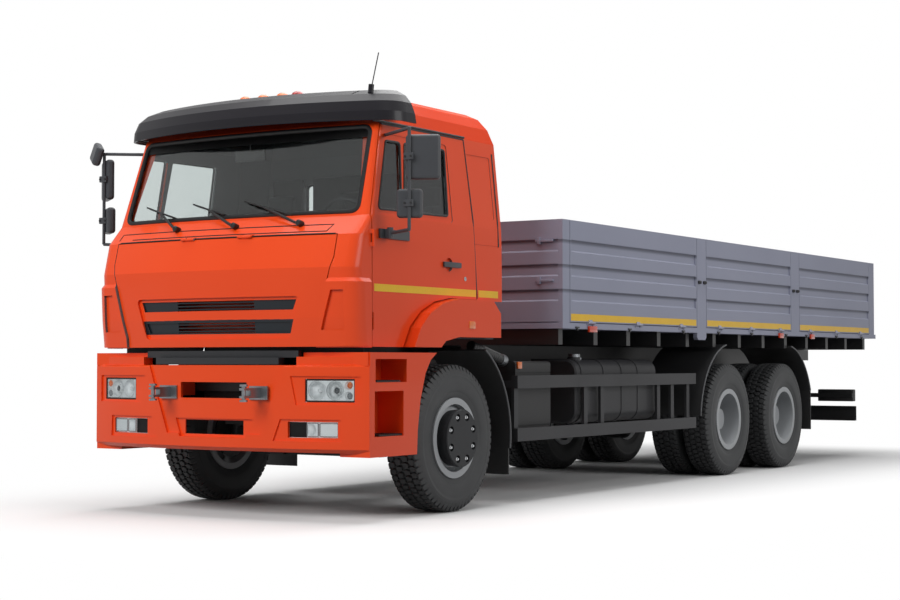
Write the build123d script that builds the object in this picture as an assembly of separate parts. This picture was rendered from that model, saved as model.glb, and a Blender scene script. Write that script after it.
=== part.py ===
from build123d import *
import math
import os

os.makedirs("parts", exist_ok=True)

# A 6x4 cab-over flatbed truck, in millimetres.
# It is drawn from its front axle: X to the truck's left, Y rearwards, Z up from the ground.
# Each piece is moved at the end so that the origin lies under the middle of the whole truck.

# Wheels and axles
TYRE_RADIUS = 542
TYRE_WIDTH = 290
RIM_SEAT_RADIUS = 260
RIM_FLANGE_RADIUS = 295
RIM_WIDTH = 236
RIM_WALL = 12
BEAD_CLEARANCE = 0.3
FRONT_TYRE_X = 1050
REAR_TYRE_X = 1075
TWIN_SPACING = 330
MIDDLE_AXLE_Y = 4970
BOGIE_SPREAD = 1440
KINGPIN_X = 860
KINGPIN_RADIUS = 24
STEERING_ARM = 280
SPINDLE_RADIUS = 45
AXLE_TUBE_RADIUS = 75
END_FLOAT = 0.4
SHAFT_CLEARANCE = 1.2

# Chassis frame
RAIL_OUTSIDE_X = 435
RAIL_HEIGHT = 285
RAIL_FLANGE = 80
RAIL_WALL = 9
RAIL_TOP_Z = 1115
RAIL_FRONT_Y = -1130
RAIL_REAR_Y = 8800

# Load bed
BED_FRONT_Y = 1520
BED_REAR_Y = 9200
BED_HALF_WIDTH = 1250
DECK_TOP_Z = 1440
DECK_THICKNESS = 70
BOARD_BOTTOM_Z = 1425
BOARD_TOP_Z = 2256
BOARD_THICKNESS = 36
BOARD_GAP = 7
POST_DEPTH = 42
BEAD_DEPTH = 12
SIDE_POSTS = [(1520, 1640), (4135, 4341), (6512, 6744), (8978, 9150)]

# Cab
CAB_WALL = 42
CAB_BOTTOM_Z = 1198
CAB_REAR_BOTTOM_Z = 1282
CAB_REAR_Y = 700
GUTTER_Z = 2775
FRONT_BOW = 7.9e-5
FLOOR_BOTTOM_Z = 1272
FLOOR_THICKNESS = 55
SEAM = 7
TILT_Y = -1100
TILT_Z = 900
DOOR_HINGE_Y = -1046
BODY_HALF_WIDTH = 1165

# Bumper, as wide as the steps and wheel arches behind it
BUMPER_HALF_WIDTH = 1248
BUMPER_FRONT_Y = -1356
BUMPER_BOTTOM_Z = 478
BUMPER_TOP_Z = 1077
BUMPER_WALL = 40
SHACKLE_X = 412
SHACKLE_Y = -1500
SHACKLE_PIN_RADIUS = 14

FRONT_END_Y = SHACKLE_Y - 2 * SHACKLE_PIN_RADIUS
TAILGATE_AXIS_Y = BED_REAR_Y + 12
HINGE_RADIUS = 11
PIN_RADIUS = 6
REAR_END_Y = TAILGATE_AXIS_Y + HINGE_RADIUS
ORIGIN_SHIFT = -(FRONT_END_Y + REAR_END_Y) / 2


# Shared drawing helpers
def block(x, y, z):
    """A box from three (low, high) pairs."""
    size = [high - low for low, high in (x, y, z)]
    middle = [(low + high) / 2 for low, high in (x, y, z)]
    return Pos(*middle) * Box(*size)


def outline(points, arcs=None):
    """A face from (first, second) points, its corners rounded by radius where arcs says so."""
    if arcs:
        return make_face(FilletPolyline(*points, radius=arcs, close=True))
    return make_face(Polyline(*points, close=True))


def side_prism(face, x_low, x_high):
    """A face drawn as (y, z), extruded across the truck."""
    return extrude(Plane.YZ.offset(x_low) * face, x_high - x_low)


def front_prism(face, y_low, y_high):
    """A face drawn as (x, z), extruded along the truck."""
    plane = Plane(origin=(0, y_high, 0), x_dir=(1, 0, 0), z_dir=(0, -1, 0))
    return extrude(plane * face, y_high - y_low)


def rod(start, end, radius):
    """A round bar between two points."""
    axis = Vector(*end) - Vector(*start)
    return extrude(Plane(origin=start, z_dir=axis) * Circle(radius), axis.length)


def both(shape):
    """The left piece and its mirror image on the right."""
    return [shape, mirror(shape, Plane.YZ)]


def merge(*shapes):
    """One solid out of several that touch."""
    total = shapes[0]
    for shape in shapes[1:]:
        total = total + shape
    return total


def keep(node, *shapes):
    """Write one node, moved to the shared origin."""
    solids = []
    for shape in shapes:
        solids += shape.solids()
    moved = [Pos(0, ORIGIN_SHIFT, 0) * solid for solid in solids]
    piece = moved[0] if len(moved) == 1 else Compound(children=moved)
    export_step(piece, f"parts/{node}.step")


def leaf(vector, half_thickness):
    """A hinge leaf: a strip from the axis out to a point in the hinge's own plane."""
    length = math.hypot(*vector)
    along = (vector[0] / length, vector[1] / length)
    across = (-along[1] * half_thickness, along[0] * half_thickness)
    ends = [(0, 0), vector]
    points = [(x + across[0], y + across[1]) for x, y in ends]
    points += [(x - across[0], y - across[1]) for x, y in reversed(ends)]
    return make_face(Polyline(*points, close=True))


def hinge(plane, fixed_leaf, moving_leaf, knuckle=60, radius=HINGE_RADIUS, pin=PIN_RADIUS, thick=4):
    """A pin hinge centred on a plane whose normal is its axis: (fixed part, moving part)."""
    ear = knuckle / 2
    fixed = plane.offset(-knuckle / 2 - ear) * extrude(Circle(pin), knuckle + 2 * ear)
    for start in (-knuckle / 2 - ear, knuckle / 2 + END_FLOAT):
        stub = Circle(radius) + leaf(fixed_leaf, thick)
        fixed += plane.offset(start) * extrude(stub, ear - END_FLOAT)
    barrel = Circle(radius) + leaf(moving_leaf, thick) - Circle(pin + 0.5)
    moving = plane.offset(-knuckle / 2) * extrude(barrel, knuckle)
    return fixed, moving


# Chassis frame: two C-section rails joined by cross members
def frame_rail():
    web = RAIL_OUTSIDE_X - RAIL_WALL
    low = RAIL_TOP_Z - RAIL_HEIGHT
    section = outline([
        (RAIL_OUTSIDE_X, low), (RAIL_OUTSIDE_X, RAIL_TOP_Z),
        (RAIL_OUTSIDE_X - RAIL_FLANGE, RAIL_TOP_Z),
        (RAIL_OUTSIDE_X - RAIL_FLANGE, RAIL_TOP_Z - RAIL_WALL),
        (web, RAIL_TOP_Z - RAIL_WALL), (web, low + RAIL_WALL),
        (RAIL_OUTSIDE_X - RAIL_FLANGE, low + RAIL_WALL), (RAIL_OUTSIDE_X - RAIL_FLANGE, low),
    ])
    return front_prism(section, RAIL_FRONT_Y, RAIL_REAR_Y)


tilt_bracket = merge(
    block((RAIL_OUTSIDE_X, 454.6), (TILT_Y - 28, -980), (TILT_Z - 60, TILT_Z + 40)),
    rod((RAIL_OUTSIDE_X, TILT_Y, TILT_Z), (500, TILT_Y, TILT_Z), 21),
)
keep("frame_rails", *both(merge(frame_rail(), tilt_bracket)))

CROSS_MEMBER_Y = [-1085, 1420, 2450, 3700, 4500, 5690, 6900, 7900, 8760]
CROSS_MEMBER_TUBE = 70
rail_low_z = RAIL_TOP_Z - RAIL_HEIGHT
web_inside_x = RAIL_OUTSIDE_X - RAIL_WALL
cross_members = []
for y in CROSS_MEMBER_Y:
    beam = block((-web_inside_x, web_inside_x), (y - CROSS_MEMBER_TUBE / 2, y + CROSS_MEMBER_TUBE / 2),
                 (rail_low_z + 60, RAIL_TOP_Z - 60))
    channel = block((-web_inside_x, web_inside_x), (y - CROSS_MEMBER_TUBE / 2 + 8, y + CROSS_MEMBER_TUBE / 2),
                    (rail_low_z + 68, RAIL_TOP_Z - 68))
    cross_members.append(beam - channel)
keep("cross_members", *cross_members)

# Bed frame: long beams on the rails, cross sills on the beams
SILL_PITCH = 640
SILL_WIDTH = 70
beam_top_z = RAIL_TOP_Z + 125
sill_top_z = DECK_TOP_Z - DECK_THICKNESS
sill_count = round((BED_REAR_Y - BED_FRONT_Y - 2 * SILL_WIDTH) / SILL_PITCH)
PACKER_GAP = 0.3
bed_frame = both(block((RAIL_OUTSIDE_X - RAIL_FLANGE, RAIL_OUTSIDE_X), (BED_FRONT_Y - 120, BED_REAR_Y - 50),
                       (RAIL_TOP_Z, beam_top_z - PACKER_GAP)))
sill_first_y = BED_FRONT_Y + SILL_WIDTH
sill_last_y = BED_REAR_Y - 250
for i in range(sill_count + 1):
    y = sill_first_y + (sill_last_y - sill_first_y) * i / sill_count
    bed_frame.append(block((-BED_HALF_WIDTH + 60, BED_HALF_WIDTH - 60),
                           (y - SILL_WIDTH / 2, y + SILL_WIDTH / 2), (beam_top_z, sill_top_z)))
keep("bed_frame", *bed_frame)

# Engine as one plain block with its gearbox, hung between the rails
ENGINE_HALF_WIDTH = 330
ENGINE_Y = (-800, 480)
ENGINE_Z = (640, 1235)
GEARBOX_END_Y = 1350
SHAFT_RADIUS = 60
RADIATOR_HALF = RAIL_OUTSIDE_X - RAIL_FLANGE - 8
engine = block((-ENGINE_HALF_WIDTH, ENGINE_HALF_WIDTH), ENGINE_Y, ENGINE_Z)
radiator = block((-RADIATOR_HALF, RADIATOR_HALF), (-1020, -940), (760, 1225))
fan_shroud = block((-260, 260), (-940, ENGINE_Y[0]), (780, 1200))
gearbox = block((-190, 190), (ENGINE_Y[1], GEARBOX_END_Y), (660, 1020))
engine_feet = block((-web_inside_x, web_inside_x), (-300, -180), (860, 980))
powertrain = merge(engine, fan_shroud, radiator, gearbox, engine_feet)
DIFF_RADIUS = 210
DIFF_HALF_WIDTH = 130
DIFF_NOSE_Y = 360
PINION_RISE = 150
FLANGE_DEPTH = 20
flange_end = MIDDLE_AXLE_Y - DIFF_NOSE_Y
pinion_z = TYRE_RADIUS + PINION_RISE
first_shaft = rod((0, GEARBOX_END_Y - 10, 790), (0, flange_end - FLANGE_DEPTH / 2, pinion_z), SHAFT_RADIUS)
flange = rod((0, flange_end - FLANGE_DEPTH, pinion_z), (0, flange_end, pinion_z), SHAFT_RADIUS + 15)
keep("powertrain", merge(powertrain, first_shaft, flange))

# Axles: a forged front beam and two driven rear casings
AXLE_Z = TYRE_RADIUS
KINGPIN_BOSS_RADIUS = 52
KINGPIN_BOSS_HALF = 75
front_beam = outline([
    (-KINGPIN_X, AXLE_Z + 45), (-700, AXLE_Z + 30), (-560, AXLE_Z - 60), (560, AXLE_Z - 60),
    (700, AXLE_Z + 30), (KINGPIN_X, AXLE_Z + 45), (KINGPIN_X, AXLE_Z - 45), (700, AXLE_Z - 70),
    (540, AXLE_Z - 160), (-540, AXLE_Z - 160), (-700, AXLE_Z - 70), (-KINGPIN_X, AXLE_Z - 45),
])
front_axle = front_prism(front_beam, -45, 45)
for side in (-1, 1):
    front_axle += Pos(side * KINGPIN_X, 0, AXLE_Z) * Cylinder(KINGPIN_BOSS_RADIUS, 2 * KINGPIN_BOSS_HALF)
    front_axle += block((side * 400 - 55, side * 400 + 55), (-80, 80), (AXLE_Z - 160, AXLE_Z - 20))
for side in (-1, 1):
    front_axle -= Pos(side * KINGPIN_X, 0, AXLE_Z) * Cylinder(KINGPIN_RADIUS + SHAFT_CLEARANCE, 400)

REAR_AXLE_END_X = 690
SPINDLE_TUBE_RADIUS = 62
SPINDLE_END_X = 1060


def rear_axle(y):
    tube = rod((-REAR_AXLE_END_X, y, AXLE_Z), (REAR_AXLE_END_X, y, AXLE_Z), AXLE_TUBE_RADIUS)
    spindle = rod((-SPINDLE_END_X, y, AXLE_Z), (SPINDLE_END_X, y, AXLE_Z), SPINDLE_TUBE_RADIUS)
    bowl = rod((-DIFF_HALF_WIDTH, y, AXLE_Z), (DIFF_HALF_WIDTH, y, AXLE_Z), DIFF_RADIUS)
    bowl = chamfer(bowl.edges().filter_by(GeomType.CIRCLE), 55)
    nose = rod((0, y, AXLE_Z + PINION_RISE), (0, y - DIFF_NOSE_Y, AXLE_Z + PINION_RISE), 95)
    flanges = merge(*both(rod((REAR_AXLE_END_X - 25, y, AXLE_Z), (REAR_AXLE_END_X, y, AXLE_Z), 180)))
    return merge(tube, spindle, bowl, nose, flanges)


rear_axle_ys = [MIDDLE_AXLE_Y, MIDDLE_AXLE_Y + BOGIE_SPREAD]
middle_axle = rear_axle(rear_axle_ys[0])
last_axle = rear_axle(rear_axle_ys[1])
link_start = MIDDLE_AXLE_Y + DIFF_RADIUS
link_end = MIDDLE_AXLE_Y + BOGIE_SPREAD - DIFF_NOSE_Y - END_FLOAT
link_z = AXLE_Z + PINION_RISE
link_shaft = rod((0, link_start, link_z), (0, link_end, link_z), 45)
output_boss = rod((0, MIDDLE_AXLE_Y + 60, link_z), (0, link_start - END_FLOAT, link_z), 70)
keep("axles", front_axle, merge(middle_axle, output_boss), link_shaft, last_axle)

# Leaf springs: long ones at the front, short inverted stacks on the bogie
SPRING_X = 400
SPRING_WIDTH = 90
front_spring_z = AXLE_Z - 20
bogie_mid_y = MIDDLE_AXLE_Y + BOGIE_SPREAD / 2
BOGIE_SPRING_X = 500


def front_spring():
    arch = outline([
        (-800, 800), (-760, 828), (-400, 690), (0, front_spring_z + 110), (400, 690), (760, 828), (800, 800),
        (420, 640), (110, front_spring_z), (-110, front_spring_z), (-420, 640),
    ])
    leafs = side_prism(arch, SPRING_X - SPRING_WIDTH / 2, SPRING_X + SPRING_WIDTH / 2)
    hangers = [block((SPRING_X - SPRING_WIDTH / 2, RAIL_OUTSIDE_X), (y - 45, y + 45), (770, rail_low_z))
               for y in (-780, 780)]
    return merge(leafs, *hangers)


def bogie_spring():
    low = AXLE_Z + AXLE_TUBE_RADIUS
    stack = outline([
        (rear_axle_ys[0] - 60, low), (rear_axle_ys[0] - 60, low + 40), (bogie_mid_y - 150, 860),
        (bogie_mid_y + 150, 860), (rear_axle_ys[1] + 60, low + 40), (rear_axle_ys[1] + 60, low),
        (bogie_mid_y + 160, 720), (bogie_mid_y - 160, 720),
    ])
    leafs = side_prism(stack, BOGIE_SPRING_X - SPRING_WIDTH / 2, BOGIE_SPRING_X + SPRING_WIDTH / 2)
    trunnion = block((RAIL_OUTSIDE_X, BOGIE_SPRING_X + SPRING_WIDTH / 2),
                     (bogie_mid_y - 130, bogie_mid_y + 130),
                     (860, 1060))
    return merge(leafs, trunnion)


keep("leaf_springs", *both(front_spring()), *both(bogie_spring()))

# Steering knuckles turn on kingpins; straight arms and a tie rod make a parallelogram
KNUCKLE_EAR = 28
KNUCKLE_FLANGE_X = 935
ARM_Z = AXLE_Z - KINGPIN_BOSS_HALF - END_FLOAT - KNUCKLE_EAR / 2
TIE_ROD_EYE = 24
ear_top = AXLE_Z + KINGPIN_BOSS_HALF + END_FLOAT
ear_low = AXLE_Z - KINGPIN_BOSS_HALF - END_FLOAT


def knuckle():
    clear_x = KINGPIN_X + KINGPIN_BOSS_RADIUS + 6
    body = block((clear_x, KNUCKLE_FLANGE_X), (-60, 60), (ear_low - KNUCKLE_EAR, ear_top + KNUCKLE_EAR))
    for z in (ear_top, ear_low - KNUCKLE_EAR):
        body += Pos(KINGPIN_X, 0, z + KNUCKLE_EAR / 2) * Cylinder(46, KNUCKLE_EAR)
        body += block((KINGPIN_X, clear_x + 5), (-46, 46), (z, z + KNUCKLE_EAR))
    body += Pos(KINGPIN_X, 0, AXLE_Z) * Cylinder(KINGPIN_RADIUS, 2 * (KINGPIN_BOSS_HALF + KNUCKLE_EAR))
    body += rod((KNUCKLE_FLANGE_X - 14, 0, AXLE_Z), (KNUCKLE_FLANGE_X, 0, AXLE_Z), 195)
    body += rod((KNUCKLE_FLANGE_X, 0, AXLE_Z), (FRONT_TYRE_X + 60, 0, AXLE_Z), SPINDLE_RADIUS)
    body += block((KINGPIN_X - 18, KINGPIN_X + 18), (20, STEERING_ARM), (ear_low - KNUCKLE_EAR, ear_low))
    body += Pos(KINGPIN_X, STEERING_ARM, ARM_Z) * Cylinder(TIE_ROD_EYE, KNUCKLE_EAR)
    return body


TIE_ROD_Z = ARM_Z - KNUCKLE_EAR - END_FLOAT
BALL_PIN_RADIUS = 10
TIE_ROD_RADIUS = 13
left_knuckle = knuckle()
right_knuckle = mirror(left_knuckle, Plane.YZ)
for side, piece in (("left", left_knuckle), ("right", right_knuckle)):
    x = KINGPIN_X if side == "left" else -KINGPIN_X
    piece = piece + Pos(x, STEERING_ARM, TIE_ROD_Z) * Cylinder(BALL_PIN_RADIUS, KNUCKLE_EAR + 2 * END_FLOAT)
    keep(f"knuckle_{side}", piece)
tie_rod = rod((-KINGPIN_X, STEERING_ARM, TIE_ROD_Z), (KINGPIN_X, STEERING_ARM, TIE_ROD_Z), TIE_ROD_RADIUS)
for x in (-KINGPIN_X, KINGPIN_X):
    tie_rod += Pos(x, STEERING_ARM, TIE_ROD_Z) * Cylinder(TIE_ROD_EYE, KNUCKLE_EAR)
for x in (-KINGPIN_X, KINGPIN_X):
    tie_rod -= Pos(x, STEERING_ARM, TIE_ROD_Z) * Cylinder(BALL_PIN_RADIUS + SHAFT_CLEARANCE, 100)
keep("tie_rod", tie_rod)


# Wheels: every section is drawn as (distance outboard, radius) and turned about the axle
def turned(points, centre, y):
    face = Plane.XY * make_face(Polyline(*points, close=True))
    return Pos(centre, y, AXLE_Z) * revolve(face, Axis.X)


def tyre(centre, y):
    half = TYRE_WIDTH / 2
    bead = RIM_WIDTH / 2 - BEAD_CLEARANCE
    seat = RIM_SEAT_RADIUS + BEAD_CLEARANCE
    right = [
        (bead, seat), (bead, RIM_FLANGE_RADIUS), (half, 400), (half - 4, 470),
        (half - 16, TYRE_RADIUS - 28), (half - 42, TYRE_RADIUS - 4),
    ]
    left = [(-offset, radius) for offset, radius in reversed(right)]
    inner = [(-bead + 22, seat), (-half + 22, 380), (-half + 30, 490), (half - 30, 490), (half - 22, 380),
             (bead - 22, seat)]
    crown = [(60, TYRE_RADIUS), (-60, TYRE_RADIUS)]
    return turned(right + crown + left + inner, centre, y)


def rim_section():
    """The rim's barrel and flanges."""
    half = RIM_WIDTH / 2
    return [
        (-half, RIM_SEAT_RADIUS), (-half, RIM_FLANGE_RADIUS), (-half - RIM_WALL, RIM_FLANGE_RADIUS),
        (-half - RIM_WALL, RIM_SEAT_RADIUS - RIM_WALL), (half + RIM_WALL, RIM_SEAT_RADIUS - RIM_WALL),
        (half + RIM_WALL, RIM_FLANGE_RADIUS), (half, RIM_FLANGE_RADIUS), (half, RIM_SEAT_RADIUS),
    ]


HUB_FACE_X = KNUCKLE_FLANGE_X + END_FLOAT
DISC_THICKNESS = 14


def wheel_holes(sketch, count, radius, y, low, high):
    """One sketch cut round the axle between two distances outboard."""
    holes = []
    for i in range(count):
        placed = Rot(0, 0, 360 / count * (i + 0.5)) * Pos(radius, 0) * Rot(0, 0, 90) * sketch
        holes.append(Pos(0, y, AXLE_Z) * extrude(Plane.YZ.offset(low) * placed, high - low))
    return holes


# The front hub stands out of the wheel as a drum with a recess round each nut
FRONT_DISC_X = 96
HUB_DRUM_RADIUS = 211
HUB_DRUM_FACE = 196
NUT_CIRCLE_RADIUS = 163
NUT_COUNT = 8
NUT_RECESS = Circle(29)
NUT_RECESS_DEPTH = 22
FRONT_HAND_HOLE = SlotOverall(88, 28)
REAR_HAND_HOLE = SlotOverall(78, 44)


def front_rim(side):
    barrel = turned(rim_section(), side * FRONT_TYRE_X, 0)
    inner_r = RIM_SEAT_RADIUS - RIM_WALL
    face = FRONT_DISC_X
    disc = turned([(face - DISC_THICKNESS, 110), (face, 110), (face, 216), (face - 24, inner_r + 4),
                   (face - 24 - DISC_THICKNESS, inner_r + 4), (face - DISC_THICKNESS, 212)], 0, 0)
    hub_low = HUB_FACE_X - FRONT_TYRE_X
    bore = SPINDLE_RADIUS + SHAFT_CLEARANCE
    hub = turned([(hub_low, bore), (hub_low, 110), (face, 110), (face, HUB_DRUM_RADIUS - 8),
                  (HUB_DRUM_FACE - 34, HUB_DRUM_RADIUS), (HUB_DRUM_FACE - 6, HUB_DRUM_RADIUS),
                  (HUB_DRUM_FACE, HUB_DRUM_RADIUS - 6), (HUB_DRUM_FACE, 0), (face, 0), (face, bore)], 0, 0)
    wheel = disc + hub
    holes = wheel_holes(FRONT_HAND_HOLE, 4, 231, 0, face - 80, face + 10)
    holes += wheel_holes(NUT_RECESS, NUT_COUNT, NUT_CIRCLE_RADIUS, 0, HUB_DRUM_FACE - NUT_RECESS_DEPTH,
                         HUB_DRUM_FACE + 10)
    for hole in holes:
        wheel -= hole
    wheel = Pos(FRONT_TYRE_X, 0, 0) * wheel
    wheel = wheel if side > 0 else mirror(wheel, Plane.YZ)
    return barrel + wheel


for side, name in ((1, "left"), (-1, "right")):
    keep(f"tyre_front_{name}", tyre(side * FRONT_TYRE_X, 0))
    keep(f"rim_front_{name}", front_rim(side))


def twin_rims(y):
    """Two rims bolted back to back on one hub: the outer one is deeply dished."""
    inner_r = RIM_SEAT_RADIUS - RIM_WALL
    inner_x = REAR_TYRE_X - TWIN_SPACING
    joint = (REAR_TYRE_X + inner_x) / 2
    barrels = merge(turned(rim_section(), REAR_TYRE_X, y), turned(rim_section(), inner_x, y))
    discs = []
    for sign in (1, -1):
        offset = 60
        discs.append([(0, 140), (sign * DISC_THICKNESS, 140), (sign * DISC_THICKNESS, 176),
                      (sign * (offset + DISC_THICKNESS), inner_r + 4), (sign * offset, inner_r + 4),
                      (0, 186)])
    plates = merge(*[turned(points, joint, y) for points in discs])
    for hole in wheel_holes(REAR_HAND_HOLE, 8, 203, y, joint - 80, joint + 80):
        plates -= hole
    bore = SPINDLE_TUBE_RADIUS + SHAFT_CLEARANCE
    hub_low = REAR_AXLE_END_X + END_FLOAT
    end = SPINDLE_END_X + 10
    hub = turned([(hub_low, bore), (hub_low, 172), (joint - 20, 172), (joint - 20, 178), (joint + 20, 178),
                  (joint + 20, 128), (end - 30, 118), (end + 40, 100), (end + 40, 0), (end, 0),
                  (end, bore)], 0, y)
    return merge(barrels, plates, hub)


for axle_name, y in zip(("middle", "rear"), rear_axle_ys):
    rims = twin_rims(y)
    tyres = [tyre(REAR_TYRE_X, y), tyre(REAR_TYRE_X - TWIN_SPACING, y)]
    for name in ("left", "right"):
        flip = name == "right"
        keep(f"tyres_{axle_name}_{name}", *[mirror(t, Plane.YZ) if flip else t for t in tyres])
        keep(f"rims_{axle_name}_{name}", mirror(rims, Plane.YZ) if flip else rims)

# Bumper: a bowed hollow beam with openings for lamps, tow eyes and air
STEP_FRONT_Y = -1186
BUMPER_BOW = 1.05e-4
BUMPER_CORNER = 60
HEADLAMP_X = (772, 1138)
HEADLAMP_Z = (824, 984)
FOG_X = (640, 1018)
FOG_Z = (580, 690)
CENTRE_OPENING = (300, 845, 957)
LOWER_OPENING = (265, 590, 690)
BLANK_RECESS = (255, 703, 802)
LIP_TOP_Z = 1135
BAND_HALF_TOP = 690
LIP_START_X = BAND_HALF_TOP + 8
UPSTAND_TOP_Z = 1165
# Shallow recesses in the bumper's face: (x, z) corners and depth
MIDDLE_DEPTH = 16
MIDDLE_RECESS = [(622, BUMPER_TOP_Z + 20), (425, 592), (-425, 592), (-622, BUMPER_TOP_Z + 20)]
GRILLE_SURROUND = [(352, 700), (300, 570), (-300, 570), (-352, 700)]
HEADLAMP_SURROUND = [(664, 1002), (1186, 1000), (1186, 808), (708, 804)]
FOG_SURROUND = [(585, 706), (1046, 706), (1052, 556), (528, 556)]
FACE_RECESSES = [(MIDDLE_RECESS, MIDDLE_DEPTH), (GRILLE_SURROUND, 30), (HEADLAMP_SURROUND, 12),
                 (FOG_SURROUND, 12)]


def bowed_plan(front, half, depth, bow=BUMPER_BOW):
    """A plan outline whose front is an arc across the truck."""
    corner = front + bow * half ** 2
    front_edge = ThreePointArc((-half, corner), (0, front), (half, corner))
    back = front + depth
    rest = Polyline((half, corner), (half, back), (-half, back), (-half, corner))
    return make_face([front_edge, rest])


def behind_face(depth):
    """Everything that lies deeper than this behind the bumper's bowed face."""
    plan = bowed_plan(BUMPER_FRONT_Y + depth, BUMPER_HALF_WIDTH + 100, 400)
    return Pos(0, 0, BUMPER_BOTTOM_Z - 50) * extrude(plan, BUMPER_TOP_Z - BUMPER_BOTTOM_Z + 200)


def face_recess(corners, depth):
    """What a recess of even depth takes out of the bowed face."""
    return front_prism(outline(corners), BUMPER_FRONT_Y - 10, BUMPER_FRONT_Y + 250) - behind_face(depth)


def bumper_beam():
    depth = STEP_FRONT_Y - 1 - BUMPER_FRONT_Y
    plan = bowed_plan(BUMPER_FRONT_Y, BUMPER_HALF_WIDTH, depth)
    shell = Pos(0, 0, BUMPER_BOTTOM_Z) * extrude(plan, BUMPER_TOP_Z - BUMPER_BOTTOM_Z)
    face_edges = shell.edges().filter_by(GeomType.CIRCLE)
    shell = chamfer(face_edges.group_by(Axis.Z)[0], 26)
    shell = fillet(shell.edges().filter_by(GeomType.CIRCLE).group_by(Axis.Z)[-1], 14)
    for corners, recess in FACE_RECESSES:
        shell -= face_recess(corners, recess)
        mirrored = [(-x, z) for x, z in reversed(corners)]
        if mirrored != corners:
            shell -= face_recess(mirrored, recess)
    inner_plan = bowed_plan(BUMPER_FRONT_Y + BUMPER_WALL, BUMPER_HALF_WIDTH - 30, depth)
    shell -= Pos(0, 0, BUMPER_BOTTOM_Z + 30) * extrude(inner_plan, BUMPER_TOP_Z - BUMPER_BOTTOM_Z - 60)
    for half, low, high in (CENTRE_OPENING, LOWER_OPENING):
        shell -= block((-half, half), (BUMPER_FRONT_Y - 50, BUMPER_FRONT_Y + 120), (low, high))
    for x, z in ((HEADLAMP_X, HEADLAMP_Z), (FOG_X, FOG_Z)):
        pocket = block(x, (BUMPER_FRONT_Y - 50, STEP_FRONT_Y), z)
        shell = shell - pocket - mirror(pocket, Plane.YZ)
    half, low, high = BLANK_RECESS
    shell -= block((-half, half), (BUMPER_FRONT_Y - 50, BUMPER_FRONT_Y + 14), (low, high))
    return shell


bumper = bumper_beam()
lip_rear = STEP_FRONT_Y - 1
lip = Pos(0, 0, BUMPER_TOP_Z - 5) * extrude(bowed_plan(BUMPER_FRONT_Y + 24, BUMPER_HALF_WIDTH - 8, 300),
                                            LIP_TOP_Z - BUMPER_TOP_Z + 5)
lip -= block((-BUMPER_HALF_WIDTH, BUMPER_HALF_WIDTH), (lip_rear, 0), (BUMPER_TOP_Z - 10, UPSTAND_TOP_Z))
lip += block((-BUMPER_HALF_WIDTH + 8, BUMPER_HALF_WIDTH - 8), (lip_rear - 14, lip_rear),
             (BUMPER_TOP_Z - 5, UPSTAND_TOP_Z))
lip -= block((-LIP_START_X, LIP_START_X), (BUMPER_FRONT_Y, 0), (BUMPER_TOP_Z - 10, UPSTAND_TOP_Z + 10))
bracket = block((340, 440), (BUMPER_FRONT_Y + BUMPER_WALL, RAIL_FRONT_Y), (860, 1000))
keep("bumper", merge(bumper, *lip.solids(), *both(bracket)))

# Lamps: reflector bowls in the bumper's pockets, three-part lamps on the tail
LAMP_SET_BACK = 22
POCKET_GAP = 0.3
BOWL_RADIUS = 66
BOWL_DEPTH = 34
BULB_RADIUS = 16
HEADLAMP_BOWLS_X = (862, 1000)
SIGNAL_X = 1098
FOG_BACKING_DROP = 11
FOG_UNITS_X = [(782, 868), (878, 1014)]
TAIL_LAMP_Y = 8930
TAIL_LAMP_X = (640, 1060)
TAIL_LAMP_Z = (640, 770)


def bowl(radius, depth, x, front, z):
    """A round hollow whose rim lies in the lamp's front face."""
    ball = (radius ** 2 + depth ** 2) / (2 * depth)
    return Pos(x, front + depth - ball, z) * Sphere(ball)


def lamp_block(x, z, set_back, gap=0.0):
    """A block in a bumper pocket whose front keeps an even distance behind the bowed face."""
    return block((x[0] + gap, x[1] - gap), (BUMPER_FRONT_Y, STEP_FRONT_Y - 2),
                 (z[0] + gap, z[1] - gap)) & behind_face(set_back)


def lamp_front(x):
    return BUMPER_FRONT_Y + BUMPER_BOW * x ** 2 + LAMP_SET_BACK


def head_lamp():
    middle_z = (HEADLAMP_Z[0] + HEADLAMP_Z[1]) / 2
    lamp = lamp_block(HEADLAMP_X, HEADLAMP_Z, LAMP_SET_BACK, POCKET_GAP)
    for x in HEADLAMP_BOWLS_X:
        lamp -= bowl(BOWL_RADIUS, BOWL_DEPTH, x, lamp_front(x), middle_z)
        lamp += Pos(x, lamp_front(x) + BOWL_DEPTH - BULB_RADIUS / 2, middle_z) * Sphere(BULB_RADIUS)
    for z in (middle_z - 36, middle_z + 36):
        lamp -= bowl(27, 9, SIGNAL_X, lamp_front(SIGNAL_X), z)
    return lamp


def fog_lamp():
    lamp = lamp_block(FOG_X, FOG_Z, LAMP_SET_BACK + FOG_BACKING_DROP, POCKET_GAP)
    for x in FOG_UNITS_X:
        middle = (x[0] + x[1]) / 2
        unit = lamp_block(x, (FOG_Z[0] + 6, FOG_Z[1] - 6), LAMP_SET_BACK)
        lamp += unit - bowl(36, 8, middle, lamp_front(middle), (FOG_Z[0] + FOG_Z[1]) / 2)
    return lamp


def tail_lamp():
    lamp = block(TAIL_LAMP_X, (TAIL_LAMP_Y, TAIL_LAMP_Y + 90), TAIL_LAMP_Z)
    lamp = fillet(lamp.edges().filter_by(Axis.Y), 24)
    third = (TAIL_LAMP_X[1] - TAIL_LAMP_X[0]) / 3
    for i in (1, 2):
        x = TAIL_LAMP_X[0] + i * third
        lamp -= block((x - 3, x + 3), (TAIL_LAMP_Y + 60, TAIL_LAMP_Y + 91),
                      (TAIL_LAMP_Z[0] - 1, TAIL_LAMP_Z[1] + 1))
    return lamp


keep("lamps", *both(head_lamp()), *both(fog_lamp()), *both(tail_lamp()))

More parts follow.
